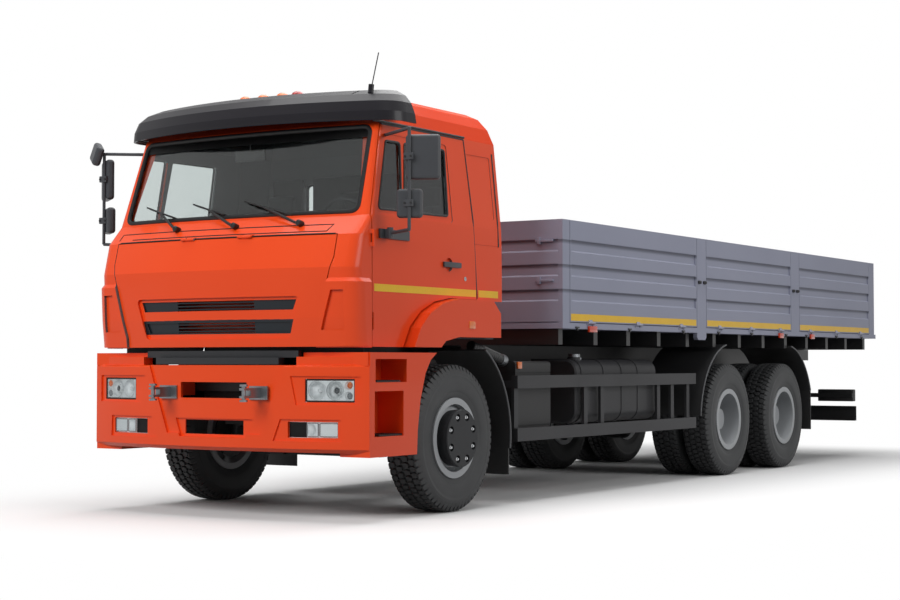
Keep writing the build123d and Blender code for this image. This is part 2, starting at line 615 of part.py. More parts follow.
# Tow gear: two front shackles with upright pins, a rear coupling with a through bore
COUPLING_BORE = 25
COUPLING_Z = 960
COUPLING_REACH = 200
COUPLING_Y = RAIL_REAR_Y + COUPLING_REACH
SHACKLE_PLATE_HALF = 80
shackle_front = BUMPER_FRONT_Y + MIDDLE_DEPTH + BUMPER_BOW * (SHACKLE_X - SHACKLE_PLATE_HALF) ** 2 - 0.5


def shackle():
    body = block((SHACKLE_X - 22, SHACKLE_X + 22), (SHACKLE_Y - 20, shackle_front), (850, 920))
    plate = block((SHACKLE_X - SHACKLE_PLATE_HALF, SHACKLE_X + SHACKLE_PLATE_HALF),
                  (shackle_front - 12, shackle_front), (838, 932))
    slot = block((SHACKLE_X - 22, SHACKLE_X + 22), (SHACKLE_Y - 40, SHACKLE_Y + 50), (866, 904))
    pin = Pos(SHACKLE_X, SHACKLE_Y, 885) * Cylinder(SHACKLE_PIN_RADIUS, 120)
    head = Pos(SHACKLE_X, SHACKLE_Y, 938) * Cylinder(SHACKLE_PIN_RADIUS * 2, 14)
    foot = Pos(SHACKLE_X, SHACKLE_Y, 832) * Cylinder(SHACKLE_PIN_RADIUS * 2, 14)
    return merge(body - slot, plate, pin, head, foot)


coupling = merge(
    block((-web_inside_x, web_inside_x), (RAIL_REAR_Y, RAIL_REAR_Y + 14), (880, 1040)),
    block((-60, 60), (RAIL_REAR_Y + 14, COUPLING_Y), (COUPLING_Z - 60, COUPLING_Z + 60)),
    Pos(0, COUPLING_Y, COUPLING_Z) * Cylinder(75, 120),
)
jaw = block((-80, 80), (COUPLING_Y - 40, COUPLING_Y + 90), (COUPLING_Z - 30, COUPLING_Z + 30))
bore = Pos(0, COUPLING_Y, COUPLING_Z) * Cylinder(COUPLING_BORE, 200)
keep("tow_gear", *both(shackle()), coupling - jaw - bore)

# Front band: the dark two-step valance between bumper and front panel
BAND_HALF_LOW = 560
BAND_Z = (1082, 1130, 1178)
band_low = Pos(0, 0, BAND_Z[0]) * extrude(bowed_plan(-1338, BAND_HALF_LOW, 90), BAND_Z[1] - BAND_Z[0])
band_top = Pos(0, 0, BAND_Z[1]) * extrude(bowed_plan(-1300, BAND_HALF_TOP, 90), BAND_Z[2] - BAND_Z[1])
band_feet = merge(*both(block((300, 360), (-1290, -1230), (BUMPER_TOP_Z, BAND_Z[1]))))
keep("front_band", merge(band_low, band_top, band_feet))

# Step panels: the stepped entry box between the bumper and the front wheel
STEP_TOP_Z = 1165
STEP_BOTTOM_Z = 452
STEP_WIDTH = 248
STEP_INSIDE_X = BUMPER_HALF_WIDTH - STEP_WIDTH
STEP_WALL = 30
STEP_RECESSES = [((-1130, -780), (590, 900)), ((-1120, -740), (960, 1120))]
LEG_REAR = [(452, -609), (621, -600), (831, -566), (1020, -500), (1113, -432), (1165, -350)]


def step_panel():
    rear = [(y, z) for z, y in LEG_REAR]
    side = outline([(STEP_FRONT_Y, STEP_BOTTOM_Z)] + rear + [(STEP_FRONT_Y, STEP_TOP_Z)])
    shell = side_prism(side, STEP_INSIDE_X, BUMPER_HALF_WIDTH)
    for y, z in STEP_RECESSES:
        shell -= block((STEP_INSIDE_X + STEP_WALL, BUMPER_HALF_WIDTH + 10), y, z)
    wheel_room = block((STEP_INSIDE_X - 10, BUMPER_HALF_WIDTH - 60), (-672, 0),
                       (STEP_BOTTOM_Z - 10, STEP_TOP_Z + 10))
    arm = block((web_inside_x + RAIL_WALL, STEP_INSIDE_X), (-900, -820), (860, 940))
    return merge(shell - wheel_room, arm)


keep("step_panels", *both(step_panel()))

# Mudguards: arcs over the wheels with rubber flaps below
GUARD_INSIDE_X = 620
GUARD_OUTSIDE_X = 1235
GUARD_THICKNESS = 12


def arc_band(y, radius, start, end):
    """A curved sheet round an axle, from one angle to another above the rearward horizontal."""
    def at(r, angle):
        return (y + r * math.cos(math.radians(angle)), AXLE_Z + r * math.sin(math.radians(angle)))
    middle = (start + end) / 2
    outer = radius + GUARD_THICKNESS
    return make_face([
        ThreePointArc(at(radius, start), at(radius, middle), at(radius, end)),
        Line(at(radius, end), at(outer, end)),
        ThreePointArc(at(outer, end), at(outer, middle), at(outer, start)),
        Line(at(outer, start), at(radius, start)),
    ])


FRONT_GUARD_RADIUS = 742
REAR_GUARD_RADIUS = 725
FLAP_THICKNESS = 14
front_guard = side_prism(arc_band(0, FRONT_GUARD_RADIUS, -8, 60), 700, 1215)
front_flap_y = FRONT_GUARD_RADIUS * math.cos(math.radians(8))
front_guard += block((840, 1200), (front_flap_y, front_flap_y + FLAP_THICKNESS), (235, AXLE_Z - 95))
front_guard += block((RAIL_OUTSIDE_X, 720), (FRONT_GUARD_RADIUS * 0.8, FRONT_GUARD_RADIUS * 0.8 + 45),
                     (965, 1010))
guard_arm_z = AXLE_Z + 390
middle_guard = side_prism(arc_band(rear_axle_ys[0], REAR_GUARD_RADIUS, 100, 176),
                          GUARD_INSIDE_X, GUARD_OUTSIDE_X)
middle_arm = block((RAIL_OUTSIDE_X, GUARD_INSIDE_X + 40), (MIDDLE_AXLE_Y - 650, MIDDLE_AXLE_Y - 600),
                   (guard_arm_z, guard_arm_z + 50))
last_guard = side_prism(arc_band(rear_axle_ys[1], REAR_GUARD_RADIUS, 20, 80), GUARD_INSIDE_X, GUARD_OUTSIDE_X)
rear_flap_y = rear_axle_ys[1] + REAR_GUARD_RADIUS * math.cos(math.radians(20))
rear_flap = block((GUARD_INSIDE_X, GUARD_OUTSIDE_X), (rear_flap_y, rear_flap_y + FLAP_THICKNESS), (375, 800))
last_arm = block((RAIL_OUTSIDE_X, GUARD_INSIDE_X + 40), (rear_flap_y - 75, rear_flap_y - 25),
                 (guard_arm_z, guard_arm_z + 50))
keep("mudguards", *both(front_guard), *both(merge(middle_guard, middle_arm)),
     *both(merge(last_guard, rear_flap, last_arm)))

# Fuel tank on the left, battery and air boxes, guarded by side rails
TANK_Y = (1985, 3520)
TANK_X = (640, 1120)
TANK_Z = (585, 1120)
TANK_ROUND = 110
STRAP_THICKNESS = 5
STRAPS_Y = [2093, 2494, 2835, 3150]
tank = block(TANK_X, TANK_Y, TANK_Z)
tank = fillet(tank.edges().filter_by(Axis.Y), TANK_ROUND)
tank = chamfer(tank.faces().sort_by(Axis.Y)[-1].edges() + tank.faces().sort_by(Axis.Y)[0].edges(), 14)
for y in STRAPS_Y:
    strap = block((TANK_X[0], TANK_X[1] + STRAP_THICKNESS), (y - 22, y + 22),
                  (TANK_Z[0] - STRAP_THICKNESS, TANK_Z[1] + STRAP_THICKNESS))
    tank += fillet(strap.edges().filter_by(Axis.Y).group_by(Axis.X)[-1], TANK_ROUND + STRAP_THICKNESS)
tank_shelves = [block((RAIL_OUTSIDE_X, TANK_X[0]), (y - 40, y + 40), (rail_low_z + 20, 1060))
                for y in (2250, 3250)]
neck = Pos(1010, 2150, TANK_Z[1] - 5) * Cylinder(55, 50)
keep("fuel_tank", merge(tank, neck, *tank_shelves))

BOX_X = (RAIL_OUTSIDE_X, 1110)
BOX_Z = (575, 1105)
LID_LINE_Z = 1010


def side_box(y):
    """A steel box with rounded long edges and the groove of its lid."""
    box = block(BOX_X, y, BOX_Z)
    box = fillet(box.edges().filter_by(Axis.Y).group_by(Axis.X)[-1], 28)
    groove = block((BOX_X[0] + 60, BOX_X[1] + 1), (y[0] - 1, y[1] + 1), (LID_LINE_Z, LID_LINE_Z + 6))
    return box - (groove - block((0, BOX_X[1] - 5), (y[0] + 5, y[1] - 5), BOX_Z))


keep("side_boxes", side_box((1000, 1565)), mirror(side_box((1000, 1750)), Plane.YZ))

AIR_TANK_RADIUS = 140
air_tanks = []
for y in (2050, 2900):
    can = rod((-830, y, 880), (-830, y + 720, 880), AIR_TANK_RADIUS)
    can = fillet(can.edges().filter_by(GeomType.CIRCLE), 50)
    air_tanks.append(merge(can, block((-700, -RAIL_OUTSIDE_X), (y + 300, y + 380), (850, 930))))
keep("air_tanks", *air_tanks)

GUARD_RAIL_X = (1172, 1205)
GUARD_RAIL_Y = (872, 4200)
GUARD_RAILS_Z = [(893, 993), (482, 583)]
GUARD_POSTS_Y = [875, 2030, 2330, 3430, 3720, 4060]
GUARD_POST_WIDTH = 62
guard_rails = []
for z in GUARD_RAILS_Z:
    guard_rails += both(block(GUARD_RAIL_X, GUARD_RAIL_Y, z))
keep("side_guard_rails", *guard_rails)
guard_posts = []
for i, y in enumerate(GUARD_POSTS_Y):
    post = block((GUARD_RAIL_X[0] - 25, GUARD_RAIL_X[0]), (y, y + GUARD_POST_WIDTH), (482, 993))
    if i in (0, 5):
        post += block((RAIL_OUTSIDE_X, GUARD_RAIL_X[0] - 25), (y, y + 50), (900, 950))
    guard_posts += both(post)
keep("side_guard_posts", *guard_posts)

# Rear underrun guard: a C-section beam on two drop arms
UNDERRUN_Y = 8880
UNDERRUN_HALF = 1100
UNDERRUN_Z = (412, 582)
beam = block((-UNDERRUN_HALF, UNDERRUN_HALF), (UNDERRUN_Y, UNDERRUN_Y + 60), UNDERRUN_Z)
beam -= block((-UNDERRUN_HALF - 1, UNDERRUN_HALF + 1), (UNDERRUN_Y - 1, UNDERRUN_Y + 50),
              (UNDERRUN_Z[0] + 9, UNDERRUN_Z[1] - 9))
arms = both(block((RAIL_OUTSIDE_X, RAIL_OUTSIDE_X + 40), (8600, UNDERRUN_Y + 52),
                  (UNDERRUN_Z[0] + 20, rail_low_z + 150)))
lamp_bar = block((-TAIL_LAMP_X[1], TAIL_LAMP_X[1]), (TAIL_LAMP_Y - 20, TAIL_LAMP_Y), (680, 730))
keep("underrun_guard", merge(beam, *arms, lamp_bar))

# Deck, headboard and posts
EDGE_TOP_Z = BOARD_BOTTOM_Z - 8
deck = block((-BED_HALF_WIDTH + 44, BED_HALF_WIDTH - 44), (BED_FRONT_Y + 40, BED_REAR_Y - 50),
             (sill_top_z, DECK_TOP_Z))
edge = block((BED_HALF_WIDTH - 44, BED_HALF_WIDTH), (BED_FRONT_Y, BED_REAR_Y - 50), (sill_top_z, EDGE_TOP_Z))
rear_sill = block((-BED_HALF_WIDTH, BED_HALF_WIDTH), (BED_REAR_Y - 50, BED_REAR_Y), (sill_top_z, EDGE_TOP_Z))
front_sill = block((-BED_HALF_WIDTH, BED_HALF_WIDTH), (BED_FRONT_Y, BED_FRONT_Y + 40),
                   (sill_top_z, EDGE_TOP_Z))
FOOT_BOTTOM_Z = 1304
foot = block((BED_HALF_WIDTH - POST_DEPTH, BED_HALF_WIDTH), SIDE_POSTS[1], (FOOT_BOTTOM_Z, sill_top_z))
foot = chamfer(foot.edges().filter_by(Axis.X).group_by(Axis.Z)[0], 24)
deck = merge(deck, *both(edge), *both(foot), rear_sill, front_sill)

BEADS_Z = [(157, 262), (359, 463), (568, 665)]
BEAD_SLOPE = 14


def bead_section(low, high, depth=BEAD_DEPTH):
    """A pressed groove: (depth into the board, height)."""
    return [(-1, low), (depth, low + BEAD_SLOPE), (depth, high - BEAD_SLOPE), (-1, high)]


def board(length, thickness=BOARD_THICKNESS):
    """A pressed side board, outer face on x = 0, standing on z = 0 and centred on y = 0."""
    height = BOARD_TOP_Z - BOARD_BOTTOM_Z
    panel = block((-thickness, 0), (-length / 2, length / 2), (0, height))
    for top, bottom in BEADS_Z:
        points = [(-x, z) for x, z in bead_section(height - bottom, height - top)]
        groove = front_prism(outline(points), -length / 2 + 24, length / 2 - 24)
        panel -= groove
    return panel


BOARD_AXIS_X = BED_HALF_WIDTH + 12
BOARD_AXIS_Z = BOARD_BOTTOM_Z - 4
HINGES_PER_BOARD = 3
deck_hinges = []
bay_names = ["front", "middle", "rear"]
for i, bay in enumerate(bay_names):
    low = SIDE_POSTS[i][1] + BOARD_GAP
    high = SIDE_POSTS[i + 1][0] - BOARD_GAP
    length = high - low
    middle = (low + high) / 2
    panel = Pos(BED_HALF_WIDTH, middle, BOARD_BOTTOM_Z) * board(length)
    for k in range(HINGES_PER_BOARD):
        y = middle + (k - 1) * length * 0.36
        plane = Plane(origin=(BOARD_AXIS_X, y, BOARD_AXIS_Z), x_dir=(1, 0, 0), z_dir=(0, -1, 0))
        fixed, moving = hinge(plane, (-14, -26), (-13, 24))
        deck_hinges.append(fixed)
        panel += moving
    for name, piece in zip(("left", "right"), both(panel)):
        keep(f"side_board_{bay}_{name}", piece)

tail_half = BED_HALF_WIDTH - 44
tailgate = Rot(0, 0, 90) * board(2 * tail_half)
tailgate = Pos(0, BED_REAR_Y, BOARD_BOTTOM_Z) * tailgate
for x in (-900, 0, 900):
    plane = Plane(origin=(x, TAILGATE_AXIS_Y, BOARD_AXIS_Z), x_dir=(0, 1, 0), z_dir=(1, 0, 0))
    fixed, moving = hinge(plane, (-14, -26), (-13, 24))
    deck_hinges.append(fixed)
    tailgate += moving
keep("tailgate", tailgate)

side_hinge_count = HINGES_PER_BOARD * len(bay_names)
right_hinges = [mirror(fixed, Plane.YZ) for fixed in deck_hinges[:side_hinge_count]]
keep("deck", merge(deck, *deck_hinges, *right_hinges))

headboard = Rot(0, 0, -90) * board(2 * (BED_HALF_WIDTH - 2))
headboard = Pos(0, BED_FRONT_Y, BOARD_BOTTOM_Z) * headboard
corner = block((BED_HALF_WIDTH - POST_DEPTH, BED_HALF_WIDTH), (BED_FRONT_Y, SIDE_POSTS[0][1]),
               (EDGE_TOP_Z, BOARD_TOP_Z))
keep("headboard", merge(headboard, *both(corner)))

bed_posts = []
for low, high in SIDE_POSTS[1:]:
    post = block((BED_HALF_WIDTH - POST_DEPTH, BED_HALF_WIDTH), (low, high), (EDGE_TOP_Z, BOARD_TOP_Z))
    bed_posts += both(post)
keep("bed_posts", *bed_posts)

# Cab shell: plan sections stacked by height, hollow, then cut where its panels meet
# Columns: height, front at the centre line, narrowing on each side, rear, front corner radius
CAB_SECTIONS = [
    (CAB_BOTTOM_Z, -1325, 0, CAB_REAR_Y, 110),
    (1400, -1348, 0, CAB_REAR_Y, 110),
    (1745, -1366, 0, CAB_REAR_Y, 110),
    (1974, -1306, 2, CAB_REAR_Y, 95),
    (2112, -1168, 6, CAB_REAR_Y, 70),
    (GUTTER_Z, -948, 73, CAB_REAR_Y, 42),
    (2890, -812, 113, CAB_REAR_Y - 28, 50),
    (2970, -705, 165, CAB_REAR_Y - 85, 60),
    (3006, -620, 235, CAB_REAR_Y - 155, 60),
    (3022, -500, 345, CAB_REAR_Y - 265, 60),
]


def section_at(z):
    """The cab's plan values at any height, in line between the table's rows."""
    for low, high in zip(CAB_SECTIONS, CAB_SECTIONS[1:]):
        if z <= high[0]:
            share = (z - low[0]) / (high[0] - low[0])
            height, front, narrowing, rear, corner = [a + (b - a) * share for a, b in zip(low, high)]
            return height, front, BODY_HALF_WIDTH - narrowing, rear, corner


def cab_plan(z, front, half, rear, radius, inset=0.0):
    front, half, rear = front + inset, half - inset, rear - inset
    face = bowed_plan(front, half, rear - front, FRONT_BOW)
    face = fillet(face.vertices().group_by(Axis.Y)[0], max(radius - inset, 12))
    return Pos(0, 0, z) * face


def cab_loft(heights, inset):
    plans = []
    for z in heights:
        plans.append(cab_plan(*section_at(z), inset))
    return loft(plans, ruled=True)


heights = [row[0] for row in CAB_SECTIONS]
outer_cab = cab_loft(heights, 0)
ceiling_z = heights[-1] - CAB_WALL
inner_cab = cab_loft([CAB_BOTTOM_Z - 40] + heights[1:-2] + [ceiling_z], CAB_WALL)
shell = outer_cab - inner_cab

# Outlines of the cab's openings: doors and arches as (y, z), front panel and glass as (x, z)
LID_SIDE = [(315, 1204), (315, 1272), (199, 1690), (165, 1815), (165, 1970)]
LID_SIDE = [(BODY_HALF_WIDTH - inset, z) for inset, z in LID_SIDE]
LID = LID_SIDE + [(-x, z) for x, z in reversed(LID_SIDE)]
WINDSCREEN = [(BODY_HALF_WIDTH - 103, 2136), (BODY_HALF_WIDTH - 131, 2748)]
WINDSCREEN += [(-x, z) for x, z in reversed(WINDSCREEN)]
REAR_WINDOW = [(230, 2150), (230, 2560), (700, 2560), (700, 2150)]
ARCH_TOP_Z = 1560
DOOR_REAR_TOP = (247, GUTTER_Z - 8)
DOOR_REAR_LOW = (330, ARCH_TOP_Z + SEAM)
DOOR_FRONT_Y = DOOR_HINGE_Y + 6
BELT_Z = 2108
ARCH_LINE = [(-50, ARCH_TOP_Z + SEAM), (-260, 1535), (-434, 1465), (-572, 1356), (-662, CAB_BOTTOM_Z + 6)]
door_face = outline([
    (DOOR_FRONT_Y, CAB_BOTTOM_Z + 6), (DOOR_FRONT_Y, BELT_Z), (-838, GUTTER_Z - 8),
    DOOR_REAR_TOP, DOOR_REAR_LOW,
] + ARCH_LINE)
door_hole = offset(door_face, SEAM, kind=Kind.INTERSECTION)
QUARTER_LIGHT = [(-948, 2160), (-790, 2652), (-612, 2655), (-660, 2165)]
DOOR_WINDOW = [(-628, 2160), (-556, 2656), (-26, 2662), (-52, 2170)]


side_low_x = BODY_HALF_WIDTH - 215
side_high_x = BODY_HALF_WIDTH + 185


def cut_prism(face):
    return [side_prism(face, side_low_x, side_high_x), side_prism(face, -side_high_x, -side_low_x)]


def skin_recess(prism, depth):
    """What a recess of even depth takes out of the cab's outer skin inside a prism."""
    return prism - cab_loft(heights, depth)


shell_rest = shell
for piece in cut_prism(door_hole):
    shell_rest -= piece
doors = [shell & piece for piece in cut_prism(door_face)]

lid_prism = front_prism(outline(LID), -1500, -1120)
lid_hole = front_prism(offset(outline(LID), SEAM, kind=Kind.INTERSECTION), -1500, -1120)
glass_prism = front_prism(outline(WINDSCREEN, 60), -1400, -700)
rear_window = front_prism(outline(REAR_WINDOW, 50), 600, 760)
shell_rest = shell_rest - lid_hole - glass_prism - rear_window - mirror(rear_window, Plane.YZ)
arch_room = outline([(-662, CAB_BOTTOM_Z - 8)] + ARCH_LINE[::-1]
                    + [(200, ARCH_TOP_Z + SEAM), (200, ARCH_TOP_Z), (CAB_REAR_Y + 20, ARCH_TOP_Z),
                       (CAB_REAR_Y + 20, CAB_BOTTOM_Z - 8)])
for piece in cut_prism(arch_room):
    shell_rest = shell_rest - piece
shell_rest -= block((-1300, 1300), (0, 900), (1100, CAB_REAR_BOTTOM_Z))
lid = shell & lid_prism

roof = shell_rest & block((-1300, 1300), (-1400, 900), (GUTTER_Z, 3100))
below_roof = shell_rest & block((-1300, 1300), (-1500, 900), (1100, GUTTER_Z))
rear_wall_y = CAB_REAR_Y - CAB_WALL
rear_wall = below_roof & block((-1300, 1300), (rear_wall_y, 900), (1100, GUTTER_Z))
side_panels = below_roof & block((-1300, 1300), (200, rear_wall_y), (1100, GUTTER_Z))
cab_front = below_roof & block((-1300, 1300), (-1500, 200), (1100, GUTTER_Z))
QUARTER_EMBOSS = [(262, 2665), (352, 2187), (610, 2187), (610, 2665)]
QUARTER_SEAM_Z = 1978
SEAM_DEPTH = 4
for prism in cut_prism(outline(QUARTER_EMBOSS, 18)):
    side_panels -= skin_recess(prism, SEAM_DEPTH)
for prism in cut_prism(outline([(200, QUARTER_SEAM_Z), (CAB_REAR_Y, QUARTER_SEAM_Z),
                                (CAB_REAR_Y, QUARTER_SEAM_Z + 6), (200, QUARTER_SEAM_Z + 6)])):
    side_panels -= skin_recess(prism, SEAM_DEPTH)
keep("cab_roof", roof)
keep("cab_rear_wall", rear_wall)
keep("cab_sides", side_panels)

# Front wall behind the lid, tilt arms under the floor
BULKHEAD_Y = -1165
BULKHEAD_WALL = 30
bulkhead_half = BODY_HALF_WIDTH - 155
bulkhead = block((-bulkhead_half, bulkhead_half), (BULKHEAD_Y, BULKHEAD_Y + BULKHEAD_WALL),
                 (FLOOR_BOTTOM_Z, 2030))

# Raised corner fairings beside the front panel, each with a recess open to the panel's seam
FAIRING_DEPTH = 22
FAIRING_EDGE = 0.5
FAIRING_TOP_Z = 1672
FAIRING_REAR_Y = DOOR_HINGE_Y - 30
FAIRING_HEIGHTS = [CAB_BOTTOM_Z, 1400, FAIRING_TOP_Z - 26, FAIRING_TOP_Z]
FAIRING_RECESS = [(250, 1318), (73, 1318), (73, 1590), (168, 1590)]
seam_line = [(x + SEAM, z) for x, z in LID_SIDE if z < FAIRING_TOP_Z + 50]
fairing_front = outline(seam_line + [(side_high_x, FAIRING_TOP_Z + 18), (side_high_x, CAB_BOTTOM_Z + 8)])
fairing_region = front_prism(fairing_front, -1500, FAIRING_REAR_Y)
fairing_plans = []
for z, depth in zip(FAIRING_HEIGHTS, (FAIRING_DEPTH, FAIRING_DEPTH, FAIRING_DEPTH, FAIRING_EDGE)):
    fairing_plans.append(cab_plan(*section_at(z), -depth))
fairing_skin = loft(fairing_plans, ruled=True) - cab_loft(heights, 6)
recess_x = [(BODY_HALF_WIDTH - inset, z) for inset, z in FAIRING_RECESS]
fairing = (fairing_skin & fairing_region) - front_prism(outline(recess_x), -1500, -1150)
cab_front_solid = merge(cab_front, bulkhead & inner_cab, *both(fairing))

lid_axis_z = 1974
LID_HINGE_X = 260
lid_axis_y = section_at(lid_axis_z)[1] + FRONT_BOW * LID_HINGE_X ** 2 - 12
for x in (-LID_HINGE_X, LID_HINGE_X):
    plane = Plane(origin=(x, lid_axis_y, lid_axis_z), x_dir=(0, 1, 0), z_dir=(1, 0, 0))
    fixed, moving = hinge(plane, (34, 18), (18, -18), radius=8, pin=4, thick=3)
    cab_front_solid += fixed
    lid += moving

door_hinge_x = BODY_HALF_WIDTH + HINGE_RADIUS + 1
DOOR_HINGES_Z = (1380, 1950)
for z in DOOR_HINGES_Z:
    plane = Plane(origin=(door_hinge_x, DOOR_HINGE_Y, z), x_dir=(1, 0, 0), z_dir=(0, 0, 1))
    fixed, moving = hinge(plane, (-17, -26), (-17, 26))
    doors[0] += moving
    doors[1] += mirror(moving, Plane.YZ)
    cab_front_solid += fixed
    cab_front_solid += mirror(fixed, Plane.YZ)
keep("cab_front", cab_front_solid)

# Grille: a shallow recess in the front panel with two slots, side plates and a bladed middle
# Columns: half width at the top, half width at the foot, foot, top
GRILLE_RECESS = (742, 652, 1262, 1552)
GRILLE_DEPTH = 20
SLOTS = [(706, 678, 1460, 1530), (660, 630, 1304, 1376)]
PLATE_INSIDE_X = 350
PLATE_DEPTH = CAB_WALL - 10
BLADE_HEIGHT = 9
BLADES_PER_SLOT = 3


def trapezoid(top_half, foot_half, low, high, radius=None):
    corners = [(-foot_half, low), (-top_half, high), (top_half, high), (foot_half, low)]
    return outline(corners, radius)


lid -= skin_recess(front_prism(trapezoid(*GRILLE_RECESS, 26), -1500, -1120), GRILLE_DEPTH)
blade_skin = cab_loft(heights, PLATE_DEPTH) - cab_loft(heights, CAB_WALL)
for top_half, foot_half, low, high in SLOTS:
    lid -= front_prism(trapezoid(top_half, foot_half, low, high), -1500, -1120)
    backing = front_prism(trapezoid(top_half + 6, foot_half + 6, low - 6, high + 6), -1500, -1120)
    middle = block((-PLATE_INSIDE_X, PLATE_INSIDE_X), (-1500, -1120), (low - 10, high + 10))
    lid += blade_skin & (backing - middle)
    pitch = (high - low) / BLADES_PER_SLOT
    for i in range(BLADES_PER_SLOT):
        foot = low + pitch * (i + 0.5) - BLADE_HEIGHT / 2
        lid += blade_skin & block((-PLATE_INSIDE_X - 5, PLATE_INSIDE_X + 5), (-1500, -1120),
                                  (foot, foot + BLADE_HEIGHT))
keep("front_panel", lid)

# Doors with their windows, glass and mirrors
WINDOW_SURROUND = [(-985, 2122), (-822, 2702), (0, 2704), (6, 2122)]
SURROUND_DEPTH = 5
HANDLE_Y = -58
HANDLE_Z = 1812
HANDLE_CUP_RADIUS = 50
HANDLE_CUP_DEPTH = 20
LEVER_Y = (-140, 84)
LEVER_HEIGHT = 34
LEVER_STANDS = 12
window_faces = [outline(QUARTER_LIGHT, 25), outline(DOOR_WINDOW, 25)]
handle_cup = rod((BODY_HALF_WIDTH - HANDLE_CUP_DEPTH, HANDLE_Y, HANDLE_Z), (side_high_x, HANDLE_Y, HANDLE_Z),
                 HANDLE_CUP_RADIUS)
lever = block((BODY_HALF_WIDTH + 4, BODY_HALF_WIDTH + 4 + LEVER_STANDS), LEVER_Y,
              (HANDLE_Z - LEVER_HEIGHT / 2, HANDLE_Z + LEVER_HEIGHT / 2))
lever = fillet(lever.edges().filter_by(Axis.X), LEVER_HEIGHT / 2 - 1)
for y in (LEVER_Y[0] + 26, LEVER_Y[1] - 26):
    lever += rod((BODY_HALF_WIDTH - 6, y, HANDLE_Z), (BODY_HALF_WIDTH + 6, y, HANDLE_Z), 11)
outer_trim = skin_recess(side_prism(outline(WINDOW_SURROUND, 30), side_low_x, side_high_x), SURROUND_DEPTH)
window_cuts = [side_prism(face, side_low_x, side_high_x) for face in window_faces]
for side, door in zip(("left", "right"), doors):
    flip = side == "right"
    for cut in (outer_trim, handle_cup, *window_cuts):
        door -= mirror(cut, Plane.YZ) if flip else cut
    keep(f"door_{side}", merge(door, mirror(lever, Plane.YZ) if flip else lever))

GLASS_THICKNESS = 8
GLASS_DEPTH = 16


def side_glass_slab():
    """The plane sheet that the left door's panes are cut from, leaning in with the cab side."""
    near = [(BODY_HALF_WIDTH - row[2] - GLASS_DEPTH, row[0]) for row in CAB_SECTIONS[4:6]]
    far = [(x - GLASS_THICKNESS, z) for x, z in reversed(near)]
    return front_prism(outline(near + far), -1200, 300)


door_slab = side_glass_slab()
left_panes = [door_slab & cut for cut in window_cuts]
keep("door_glass_left", *left_panes)
keep("door_glass_right", *[mirror(pane, Plane.YZ) for pane in left_panes])
glass_heights = heights[:-3]
windscreen = cab_loft(glass_heights, GLASS_DEPTH) - cab_loft(glass_heights, GLASS_DEPTH + GLASS_THICKNESS)
windscreen = windscreen & glass_prism
rear_slab = block((-1000, 1000), (CAB_REAR_Y - GLASS_DEPTH - GLASS_THICKNESS, CAB_REAR_Y - GLASS_DEPTH),
                  (2000, 2700))
keep("cab_glass", windscreen, *both(rear_slab & rear_window))

# Mirrors: two heads on a bent tube, turned towards the driver, with a wide-angle head on the right
MIRROR_TUBE = (BODY_HALF_WIDTH + 247, -957)
TUBE_RADIUS = 12
TUBE_Z = (2003, 2700)
MIRROR_DEPTH = 66
MIRROR_ROUND = 26
# Columns: width, foot, top, shift along the head's own width
MIRROR_HEADS = [(240, 2350, 2660, 92), (180, 2085, 2285, 0)]
TUBE_BEHIND = 48
WIDE_ANGLE_SHIFT = 69


def mirror_head(yaw, width, low, high, shift):
    """A rounded head behind the tube, its width turned by yaw about the upright."""
    head = Box(width, MIRROR_DEPTH, high - low)
    head = fillet(head.edges(), MIRROR_ROUND)
    return (Pos(MIRROR_TUBE[0], MIRROR_TUBE[1], (low + high) / 2) * Rot(0, 0, yaw)
            * Pos(shift, TUBE_BEHIND - TUBE_RADIUS + 8, 0) * head)


def mirror_set(yaw, wide_angle):
    x, y = MIRROR_TUBE
    low, high = TUBE_Z
    pieces = [rod((x, y, low), (x, y, high), TUBE_RADIUS)]
    pieces.append(rod((BODY_HALF_WIDTH + 45, -890, low - 12), (x, y, low), TUBE_RADIUS))
    pieces.append(rod((BODY_HALF_WIDTH - 68, -790, high - 8), (x, y, high), TUBE_RADIUS))
    pieces += [Pos(x, y, z) * Sphere(TUBE_RADIUS) for z in TUBE_Z]
    pieces.append(rod((BODY_HALF_WIDTH + 45, -890, 1955), (BODY_HALF_WIDTH + 45, -890, 2030), 22))
    pieces.append(block((BODY_HALF_WIDTH + POCKET_GAP, BODY_HALF_WIDTH + 14), (-965, -600), (1955, 2020)))
    pieces.append(block((BODY_HALF_WIDTH + 10, BODY_HALF_WIDTH + 50), (-912, -868), (1955, 2020)))
    pieces += [mirror_head(yaw, *head) for head in MIRROR_HEADS]
    if wide_angle:
        head = fillet(Box(200, MIRROR_DEPTH, 150).edges(), MIRROR_ROUND)
        pieces.append(Pos(x + WIDE_ANGLE_SHIFT, y - 8, high + 2) * Rot(0, -24, yaw) * head)
        pieces.append(rod((x, y, high), (x + WIDE_ANGLE_SHIFT, y - 8, high + 2), TUBE_RADIUS))
    return merge(*pieces) - outer_cab


keep("mirrors_left", mirror_set(28, False))
keep("mirrors_right", mirror(mirror_set(37, True), Plane.YZ))

